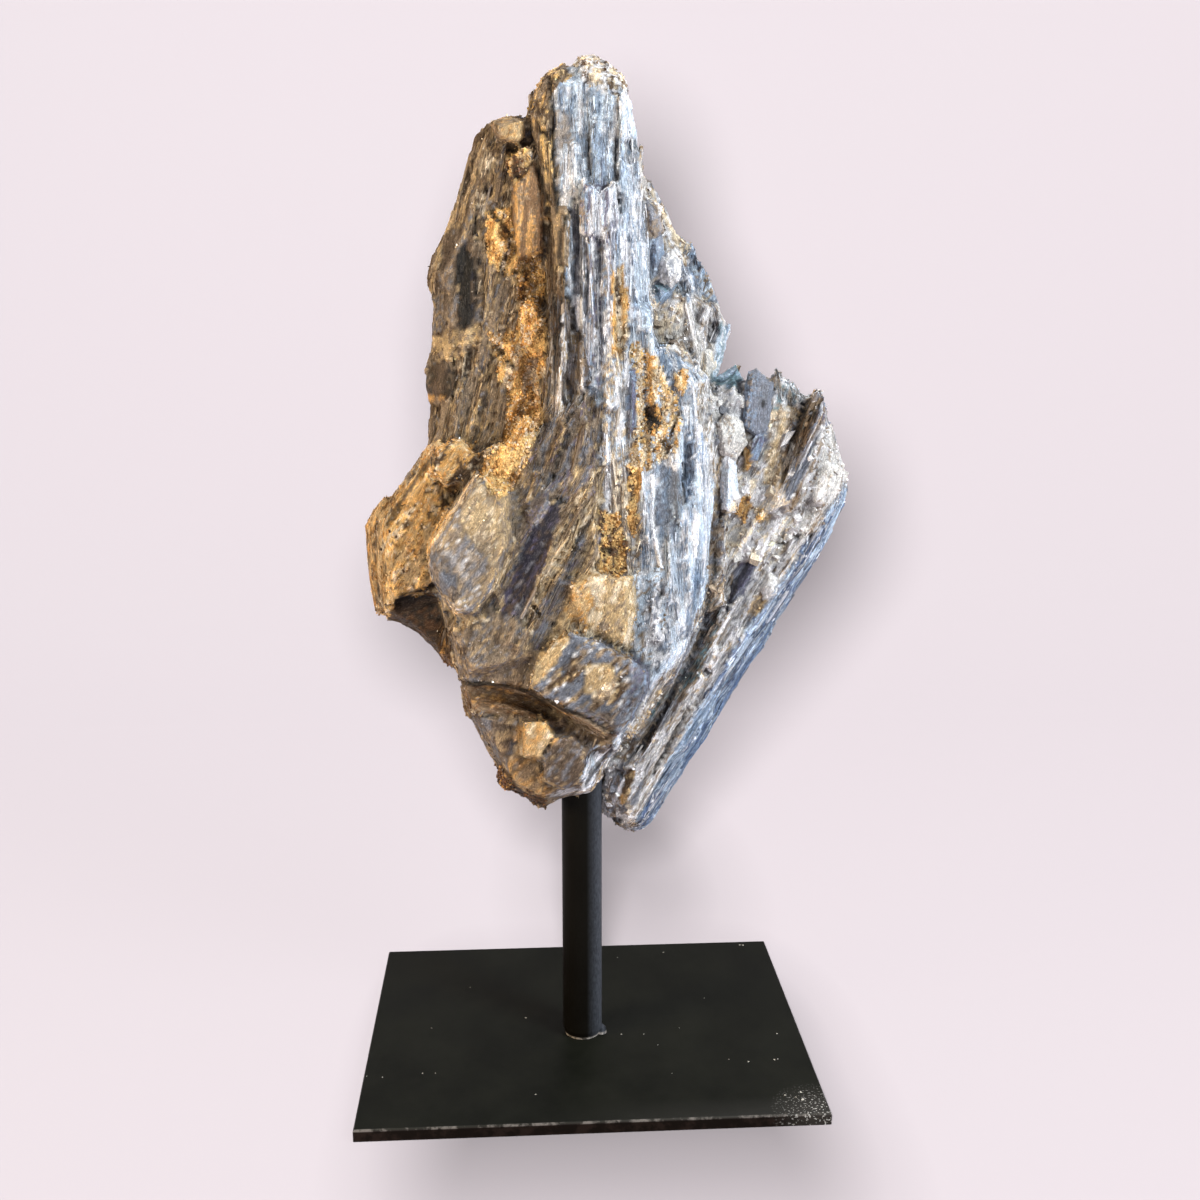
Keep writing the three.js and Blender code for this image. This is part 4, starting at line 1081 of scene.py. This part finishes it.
def stone_skin():
    """The stone's surface: the CAD solid with stepped blades, lumps and cracks, coloured by region."""
    points, normals, faces = stone_solid()
    region = region_of(points)
    height = relief(points, region) * per_region("relief")[region]
    lumps = value_noise(points, 2.4, 31) + 0.6 * value_noise(points, 1.2, 32) - 0.8
    height += lumps * np.where(CRUMBLY[region], CRUMBLY_LUMPS, OTHER_LUMPS)
    height -= CRACK_DEPTH * nearness(CRACKS_AND_PAINTED_SHADOWS, points)
    points = points + normals * (height - SET_BACK)[:, None]
    normals = corner_normals(points, faces)
    proud = np.sum((points - smoothed(points, faces, 10)) * normals, axis=1)
    # The skin's tint carries painted shade in hollows and cracks, painted highlights on edges, and painted
    # shade under what lies on it
    skin = mesh_object("stone_skin", points, faces, "kyanite_stone", STONE, smooth=True,
                       tint=blade_tints(points, region, proud) * SKIN_SHADE,
                       gloss=np.where(SMOOTH[region], SMOOTH_GLOSS, SKIN_GLOSS),
                       place=grain_place(points, region))
    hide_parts("kyanite")
    return points, normals, faces, proud


# How many of each there are, against what the kinds ask for, and how many behind, against the front
DENSITY = dict(laths=1.5, crumbs=1.15, flakes=1.0, chunks=1.0)
SHARE_BEHIND = 0.45


def scatter(surface, field):
    """Random spots on the surface, as many as each region's kind asks for, fewer behind and in cracks.

    With them come their normals, how hollow or proud the surface is there, and their regions."""
    points, normals, faces, proud = surface
    most = per_region(field).max()
    areas = np.linalg.norm(face_crosses(points, faces), axis=1) / 2
    chosen = np.repeat(np.arange(len(faces)), rng.poisson(areas * most * DENSITY[field]))
    s, t = rng.random((2, len(chosen), 1))
    corners = faces[chosen]
    weights = [(1 - s) * (1 - t), s * (1 - t), s * t, (1 - s) * t]
    spot = sum(w * points[corners[:, i]] for i, w in enumerate(weights))
    normal = unit(sum(w * normals[corners[:, i]] for i, w in enumerate(weights)))
    region = region_of(spot)
    wanted = per_region(field)[region] / most * np.where(spot[:, 1] > BACK_FROM, SHARE_BEHIND, 1.0)
    keep = rng.random(len(spot)) < wanted * (1 - 0.8 * nearness(CRACKS_AND_PAINTED_SHADOWS, spot))
    return spot[keep], normal[keep], proud[corners[keep, 0]], region[keep]


# How far in millimetres a lying lath may be from the stone, and the share of its length that a lath keeps
# each time it is shortened
CLOSE = 0.5
SHORTER = 0.55


def settled(tree, spot, normal, along, length):
    """Lays lines on the surface: turns, moves and shortens them until they lie close."""
    for i in range(len(spot)):
        centre, way, up = Vector(spot[i]), Vector(along[i]), Vector(normal[i])
        for _ in range(4):
            ends = [tree.find_nearest(centre + way * (length[i] * side)) for side in (-0.5, 0.5)]
            chord = (ends[0][0] + ends[1][0]) / 2
            if (ends[0][3] + ends[1][3]) / 2 + abs((chord - centre).dot(up)) < CLOSE:
                break
            length[i] *= SHORTER
        spot[i] = centre.lerp(chord, 0.6)
        along[i] = (ends[1][0] - ends[0][0]).normalized()


# How nearly the grain has to run straight out of a face for laths to stand up there
RUNS_OUT = 0.85

# The corners of a lath's two ends: each one's place across, and its height, or none for the lath's own rise
BLADE_SECTION = ((-0.5, -0.5), (-0.43, None), (0.43, None), (0.5, -0.5))
FIBRE_SECTION = ((-0.5, -0.4), (0.1, None), (0.5, -0.4))

# The most triangles in one piece of laths
PIECE_TRIANGLES = 190000


def lath_lines(surface, tree, share, size, bladed_only):
    """Where laths lie, along the grain: their middles, directions, directions up, lengths and widths.

    Where the grain runs out of a face, they stand up. With them come their regions, and how proud the
    stone is there."""
    spot, normal, proud, region = scatter(surface, "laths")
    keep = (rng.random(len(spot)) < share) & (BLADED[region] | (not bladed_only))
    spot, normal, proud, region = spot[keep], normal[keep], proud[keep], region[keep]
    count = len(spot)
    angle = GRAIN[region] + np.radians(per_region("stray")[region]) * rng.normal(0, 0.7, count)
    grain = np.stack([np.cos(angle), rng.normal(0, 0.05, count), np.sin(angle)], axis=1)
    lean = np.sum(grain * normal, axis=1)
    along = unit(grain - normal * lean[:, None])
    poking = (np.abs(lean) > RUNS_OUT) & BLADED[region]
    pokes = poking.sum()
    along[poking] = unit(grain[poking] * np.sign(lean[poking])[:, None] + 0.4 * rng.normal(0, 1, (pokes, 3)))
    shortest, longest, thinnest, widest = (
        per_region(field)[region] for field in ("shortest", "longest", "thinnest", "widest"))
    length = size * between(shortest, longest, count, 1.8)
    width = size * between(thinnest, widest, count, 1.5)
    length[poking] = between(0.5, 1.2, pokes)
    width[poking] = between(0.4, 1.0, pokes)
    for _ in range(2):
        ends = [spot + along * (length * side)[:, None] for side in (-0.5, 0.5)]
        stray = SMOOTH[region_of(ends[0])] | SMOOTH[region_of(ends[1])]
        length[stray & ~SMOOTH[region]] *= SHORTER
    lying = np.nonzero(~poking)[0]
    laid = spot[lying], normal[lying], along[lying], length[lying]
    settled(tree, *laid)
    spot[lying], _, along[lying], length[lying] = laid
    up = unit(normal - along * np.sum(normal * along, axis=1)[:, None])
    up[poking] = unit(np.cross(along[poking], rng.normal(0, 1, (pokes, 3))))
    return spot, along, turned(up, along, rng.normal(0, 0.25, count)), length, width, region, proud


def lath_pieces(name, section, lines):
    """Thin straight crystals, in pieces: most sink into the stone at one end and are broken at the other."""
    spot, along, up, length, width, region, proud = lines
    count = len(spot)
    across = np.cross(up, along)
    rise = between(0.05, 0.40, count, 1.3) * np.sqrt(width)
    broken = rng.random(count) < 0.25
    rises = [np.where(broken, rise, between(-0.3, 0.05, count)), rise]
    sizes = [between(0.15, 1.0, count), between(0.5, 1.0, count)]
    own = between(0.80, 1.2, count)[:, None]
    thread = rng.random(count) < 0.2
    width[thread] *= 0.5
    own[thread] *= 1.5
    middle = blade_tints(spot, region, proud)
    scattered = between(-50, 50, count)
    corners = []
    tint = []
    place = []
    for side, end_rise, end_size in zip((-0.5, 0.5), rises, sizes):
        slant = rng.normal(0, 0.9, count)
        end = spot + along * (side * length)[:, None]
        end_tint = own * (0.5 * middle + 0.5 * blade_tints(end, region_of(end), proud))
        for s, depth in section:
            reach = side * length + slant * s * width
            height = end_rise if depth is None else np.full(count, depth)
            sideways = across * (s * width * end_size)[:, None]
            corners.append(spot + along * reach[:, None] + sideways + up * height[:, None])
            tint.append(end_tint)
            place.append(np.stack([reach, s * width, height + scattered], axis=1))
    vertices, tint, place = (np.stack(values, axis=1) for values in (corners, tint, place))
    sides = len(section)
    gloss = np.repeat(between(0.0, 0.36, count, 2.0), 2 * sides).reshape(count, -1)
    faces = [(i, i + sides, (i + 1) % sides + sides, (i + 1) % sides) for i in range(sides)]
    faces += [tuple(range(sides)), tuple(range(2 * sides - 1, sides - 1, -1))]
    triangles = [(face[0], face[i], face[i + 1]) for face in faces for i in range(1, len(face) - 1)]
    per_piece = PIECE_TRIANGLES // len(triangles)
    for part, start in enumerate(range(0, count, per_piece)):
        here = slice(start, min(count, start + per_piece))
        solids = (np.arange(here.stop - start) * 2 * sides)[:, None, None] + np.array(triangles)
        mesh_object(f"{name}_{part + 1}", vertices[here].reshape(-1, 3), solids.reshape(-1, 3),
                    "kyanite_stone", STONE, tint=tint[here].reshape(-1, 3), gloss=gloss[here].ravel(),
                    place=place[here].reshape(-1, 3))


def chips(name, surface, field, material, shell, faces, sizes, stretch, tilt, sink, paler=None):
    """Many small loose-looking solids on the surface: grains in the seams, lumps, or thin flakes.

    Their sizes are two bounds and a power. Their tint may be made paler, by a factor and an amount."""
    spot, normal, proud, region = scatter(surface, field)
    count = len(spot)
    corners = len(shell)
    size = between(*sizes[:2], count, sizes[2])
    shape = np.array(shell) * size[:, None, None] * between(*stretch, count * 3).reshape(count, 1, 3)
    shape = shape * between(0.65, 1.15, count * corners * 3).reshape(count, corners, 3)
    facing = unit(normal + tilt * rng.normal(0, 1, (count, 3)))
    side = unit(np.cross(facing, rng.normal(0, 1, (count, 3))))
    axes = np.stack([side, np.cross(facing, side), facing], axis=1)
    vertices = np.einsum("nci,nij->ncj", shape, axes) + (spot + normal * (size * sink)[:, None])[:, None]
    solids = (np.arange(count) * corners)[:, None, None] + np.array(faces, int)
    own = between(0.8, 1.25, count)[:, None]
    tint = blade_tints(spot, region, proud) * own
    if paler:
        tint = np.clip(tint * paler[0] + paler[1], 0, 1)
    gloss = between(0.0, 0.35, count, 2.5)
    shift = between(-50, 50, count * 3).reshape(count, 3)
    mesh_object(name, vertices.reshape(-1, 3), solids.reshape(-1, 3), "kyanite_stone", material,
                tint=np.repeat(tint, corners, axis=0), gloss=np.repeat(gloss, corners),
                place=shape.reshape(-1, 3) + np.repeat(shift, corners, axis=0))


# The steps in millimetres along a crystal's border and over its face, and how far in the face's spots begin
RIM_STEP = 0.6
FACE_STEP = 0.5
FACE_INSET = 0.3

# How far in millimetres from their middle the depths under a crystal count for its plane: deeper ones are
# left out, and nearer ones are moved back
DEPTH_WINDOW = 3.0

# How far in millimetres below its plane a crystal goes into the stone, and how much wider it is there
CRYSTAL_ROOT = 3.0
ROOT_SPREAD = 1.05

# A crystal's bevel: its slope, and how far below the plane it starts in millimetres. How steep the faces of
# its top are, and how many there are.
BEVEL_SLOPE = 1.3
BEVEL_START = 0.6
TOP_SLOPE = 2.2
TOP_FACES = 4


def crystal_spots(outline):
    """An uneven net over an outline: its spots, the triangles between them, and the closed border."""
    ring = []
    for start, end in zip(outline, np.roll(outline, -1, axis=0)):
        steps = max(1, round(np.linalg.norm(end - start) / RIM_STEP))
        ring += [start + (end - start) * i / steps for i in range(steps)]
    count = len(ring)
    ring = np.array(ring) + rng.normal(0, 0.1, (count, 2))
    border = np.concatenate([ring, ring[:1]])
    low, high = ring.min(axis=0), ring.max(axis=0)
    grid = np.meshgrid(*(np.arange(low[i], high[i], FACE_STEP) for i in (0, 1)))
    grid = np.stack(grid, axis=-1).reshape(-1, 2)
    grid += rng.normal(0, 0.08, grid.shape)
    grid = grid[within([tuple(corner) for corner in ring], grid) & (away_from(border, grid) > FACE_INSET)]
    loop = [(i, (i + 1) % count) for i in range(count)]
    spots = [Vector(spot) for spot in np.concatenate([ring, grid])]
    flat, _, faces, *_ = delaunay_2d_cdt(spots, loop, [], 1, 1e-4)
    return np.array([tuple(spot) for spot in flat]), [tuple(face) for face in faces], border


def plane_depths(tree, spots):
    """The depth at each spot of a plane that fits the stone's surface as the eye sees it there."""
    centre = spots.mean(axis=0)
    rays = [Vector((u - EYE[0], -EYE[1], v - EYE[2])).normalized() for u, v in spots]
    hits = [tree.ray_cast(Vector(EYE), ray)[0] for ray in rays]
    seen = np.array([hit is not None for hit in hits])
    depth = np.array([hit.y for hit in hits if hit is not None])
    near = depth < np.median(depth) + DEPTH_WINDOW
    across = np.column_stack([np.ones(seen.sum()), spots[seen] - centre])[near]
    depth = np.maximum(depth[near], np.median(depth) - DEPTH_WINDOW)
    fit = np.linalg.lstsq(across, depth, rcond=None)[0]
    return fit[0] + (spots - centre) @ fit[1:]


def crystal(tree, outline, proud, dome):
    """One crystal: a bevelled rim and a top of a few flat faces, closed below: its points and triangles."""
    spots, triangles, border = crystal_spots(outline)
    size = len(spots)
    centre = spots.mean(axis=0)
    plane = plane_depths(tree, spots)
    reach = np.abs(spots - centre).max()
    lift = BEVEL_SLOPE * away_from(border, spots) - BEVEL_START
    for angle in rng.uniform(0, 2 * math.pi, TOP_FACES):
        slope = (spots - centre) @ (math.cos(angle), math.sin(angle)) / reach
        fall = TOP_SLOPE * dome * np.maximum(slope, -0.2) * rng.uniform(0.4, 1.3)
        lift = np.minimum(lift, proud + dome - fall)
    lift += 0.12 * (value_noise(np.column_stack([spots, lift]), 0.8, 90) - 0.5)
    top = from_eye(spots, plane - lift)
    root = from_eye(centre + (spots - centre) * ROOT_SPREAD, plane + CRYSTAL_ROOT)
    edges = {edge for face in triangles for edge in zip(face, face[1:] + face[:1])}
    triangles += [tuple(corner + size for corner in reversed(face)) for face in triangles]
    for a, b in edges:
        if (b, a) not in edges:
            triangles += [(b, a, a + size), (b, a + size, b + size)]
    return np.concatenate([top, root]), np.array(triangles)


def crystals(tree):
    """The single crystals that stand proud, as one piece."""
    names = list(REGIONS)
    points = []
    index = []
    triangles = []
    start = 0
    for name, (proud, dome) in CRYSTALS.items():
        own_points, own_triangles = crystal(tree, np.array(REGIONS[name]["outline"]), proud, dome)
        points.append(own_points)
        index.append(np.full(len(own_points), names.index(name)))
        triangles.append(own_triangles + start)
        start += len(own_points)
    used, triangles = np.unique(np.concatenate(triangles), return_inverse=True)
    points = np.concatenate(points)[used]
    index = np.concatenate(index)[used]
    # A fixed proudness of 0.3 gives every crystal the brighter painted highlight of a ridge
    mesh_object("single_crystals", points, triangles.reshape(-1, 3), "kyanite_stone", STONE,
                tint=blade_tints(points, index, np.full(len(points), 0.3)), gloss=np.full(len(points), 0.2),
                place=grain_place(points, index))


# Eight corners of an angular grain, and its faces
GRAIN_SHELL = groups("1,0,-.4 -.5,.87,-.4 -.5,-.87,-.4 -1,0,.4 .5,-.87,.4 .5,.87,.4 0,0,1 0,0,-1")
GRAIN_FACES = groups("0,5,4 5,0,1 1,3,5 3,1,2 2,4,3 4,2,0 6,4,5 6,5,3 6,3,4 7,1,0 7,2,1 7,0,2")

# Eight corners of a thin plate, and its faces
FLAKE_SHELL = [(x, y, z) for z in (-0.12, 0.12) for x, y in groups("-1,-0.7 1,-0.8 0.9,0.7 -0.8,0.8")]
FLAKE_FACES = groups("0,2,1 0,3,2 4,5,6 4,6,7 0,1,5 0,5,4 1,2,6 1,6,5 2,3,7 2,7,6 3,0,4 3,4,7")

STONE = stone_material()
surface = stone_skin()
skin_points, _, skin_faces, _ = surface
skin_triangles = np.concatenate([skin_faces[:, :3], skin_faces[:, [0, 2, 3]]])
tree = BVHTree.FromPolygons(skin_points.tolist(), skin_triangles.tolist())
crystals(tree)
lath_pieces("blades", BLADE_SECTION, lath_lines(surface, tree, share=0.075, size=1.0, bladed_only=True))
lath_pieces("fibres", FIBRE_SECTION, lath_lines(surface, tree, share=0.95, size=0.52, bladed_only=False))
chips("ochre_crumbs", surface, "crumbs", crumb_material(), GRAIN_SHELL, GRAIN_FACES,
      sizes=(0.18, 0.72, 1.8), stretch=(0.5, 1.25), tilt=2.0, sink=0.3)
chips("quartz_chunks", surface, "chunks", STONE, GRAIN_SHELL, GRAIN_FACES,
      sizes=(0.7, 2.0, 1.8), stretch=(0.4, 1.3), tilt=0.9, sink=-0.1, paler=(1.2, 0.0))
# The flakes are made paler: mica's own pale colour, and partly a painted glint that shows without a lamp
# catching it
chips("mica_flakes", surface, "flakes", flake_material(), FLAKE_SHELL, FLAKE_FACES,
      sizes=(0.12, 0.36, 1.8), stretch=(0.6, 1.2), tilt=0.5, sink=0.5, paler=(1.3, 0.16))
dust()
for name, wear_and_painted_light in (("base_plate", worn_plate), ("post", rod_wear_and_painted_sheen)):
    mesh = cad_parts[name].data
    mesh.materials.clear()
    mesh.materials.append(paint_material(f"black paint on the {name}", wear_and_painted_light))


# A small lamp beside the eye, for the photograph's soft shadow on its backdrop: where it is, its radius and
# strength, the light that it gives where it falls on the backdrop straight, and the light that the backdrop
# has everywhere, with a glow that makes up the rest
SHADOW_LAMP = EYE * MM + (-0.013, 0.0, 0.030)
LAMP_RADIUS = 0.034
LAMP_STRENGTH = 532.0
LAMP_SHARE = 0.86
BACKDROP_LIGHT = 0.845

# The backdrop in metres: how far it reaches to each side, where it starts to bend up, and the bend's radius
BACKDROP_REACH = 3.0
BEND_START = 0.35
BEND_RADIUS = 0.5


def away(make, axes, centre, half, reach):
    """How far a floor point is from a rectangle on the floor, 1 at the given reach in x and y."""
    parts = []
    for axis, middle, side, far in zip(axes, centre, half, reach):
        distance = make.math("ABSOLUTE", make.math("SUBTRACT", axis, middle))
        outside = make.math("MAXIMUM", make.math("SUBTRACT", distance, side), 0.0)
        parts.append(make.math("DIVIDE", outside, far))
    joined = make.node("CombineXYZ", X=parts[0], Y=parts[1])
    return make.vector("LENGTH", "Value", joined.outputs["Vector"])


def backdrop_material():
    """Pale and evenly bright under the shadow lamp, with painted soft shadows round the plate and behind the
    rod.
    """
    make = Shader("pale backdrop")
    place, x, y, _ = make.place()
    # Painted soft shadows: round the plate, darkest in front of it, and of the stone on the floor behind the
    # rod; they dim the colour and the glow
    front = away(make, (x, y), (0.008, -0.030), (0.044, 0.025), (0.044, 0.09))
    front = make.ramp(front, (0.0, 0.46), (0.2, 0.58), (0.42, 0.74), (0.68, 0.91), (1.0, 1.0))
    behind = away(make, (x, y), (0.024, 0.13), (0.004, 0.01), (0.056, 0.12))
    behind = make.ramp(behind, (0.0, 0.62), (0.3, 0.72), (0.6, 0.90), (1.0, 1.0))
    shade = make.times(front, behind)
    to_lamp = make.vector("SUBTRACT", "Vector", tuple(SHADOW_LAMP), place)
    to_lamp = make.vector("NORMALIZE", "Vector", to_lamp)
    facing = make.vector("DOT_PRODUCT", "Value", to_lamp, make.node("NewGeometry").outputs["Normal"])
    lit = make.times(make.math("ABSOLUTE", facing), LAMP_SHARE)
    glow = make.math("MAXIMUM", make.math("SUBTRACT", BACKDROP_LIGHT, lit), 0.0)
    make.surface(Base_Color=make.shaded((0.06, 0.054, 0.057, 1), shade), Roughness=0.9,
                 Specular_IOR_Level=0.1, Emission_Color=(0.87, 0.783, 0.83, 1),
                 Emission_Strength=make.times(glow, shade))
    return make.material


def backdrop():
    """A floor that curves up into a backdrop."""
    profile = [(-BACKDROP_REACH, 0.0), (BEND_START, 0.0)]
    for angle in np.linspace(0.1, math.pi / 2, 24):
        height = BEND_RADIUS - BEND_RADIUS * math.cos(angle)
        profile.append((BEND_START + BEND_RADIUS * math.sin(angle), height))
    profile.append((BEND_START + BEND_RADIUS, BACKDROP_REACH))
    vertices = [(x, y, z) for y, z in profile for x in (-BACKDROP_REACH, BACKDROP_REACH)]
    faces = [(2 * i, 2 * i + 1, 2 * i + 3, 2 * i + 2) for i in range(len(profile) - 1)]
    mesh = bpy.data.meshes.new("backdrop")
    mesh.from_pydata(vertices, [], faces)
    mesh.polygons.foreach_set("use_smooth", np.ones(len(faces), bool))
    mesh.materials.append(backdrop_material())
    sheet = placed("backdrop", mesh)
    return sheet


def shadow_lamp(sheet):
    """The lamp beside the eye, which only lights the backdrop."""
    light = bpy.data.lights.new("shadow lamp", "POINT")
    light.energy = 1.0
    light.shadow_soft_size = LAMP_RADIUS
    light.use_nodes = True
    tree = light.node_tree
    falloff = tree.nodes.new("ShaderNodeLightFalloff")
    falloff.inputs["Strength"].default_value = LAMP_STRENGTH
    tree.links.new(falloff.outputs["Constant"], tree.nodes["Emission"].inputs["Strength"])
    lit = bpy.data.collections.new("lit by the shadow lamp")
    lit.objects.link(sheet)
    placed("shadow lamp", light, SHADOW_LAMP).light_linking.receiver_collection = lit


STONE_CENTRE = Vector((0.0, 0.0, 0.19))


def area_light(name, place, size, power, colour):
    """A round soft light that is aimed at the stone."""
    light = bpy.data.lights.new(name, "AREA")
    light.shape = "DISK"
    light.size = size
    light.energy = power
    light.color = colour
    lamp = placed(name, light, place)
    lamp.rotation_euler = (STONE_CENTRE - Vector(place)).to_track_quat("-Z", "Y").to_euler()


def camera():
    """The photograph's viewpoint."""
    lens = bpy.data.cameras.new("camera")
    lens.lens = LENS
    lens.sensor_width = SENSOR
    eye = placed("camera", lens, Vector(EYE * MM))
    eye.rotation_euler = (math.radians(90 - TILT), 0, math.radians(TURN))
    bpy.context.scene.camera = eye


shadow_lamp(backdrop())
area_light("cool daylight", (0.62, -0.55, 0.62), 0.35, 10.3, (0.885, 0.965, 1.0))
area_light("warm lamp", (-0.62, -0.30, 0.30), 0.25, 3.5, (1.0, 0.80, 0.50))
area_light("soft top", (0.0, -0.2, 1.1), 0.8, 2.0, (1.0, 0.98, 0.97))
camera()

world = bpy.data.worlds.new("studio")
world.use_nodes = True
sky = world.node_tree.nodes["Background"].inputs
sky["Color"].default_value = (0.9, 0.86, 0.88, 1)
sky["Strength"].default_value = 0.25
bpy.context.scene.world = world
bpy.context.scene.view_settings.view_transform = "Standard"
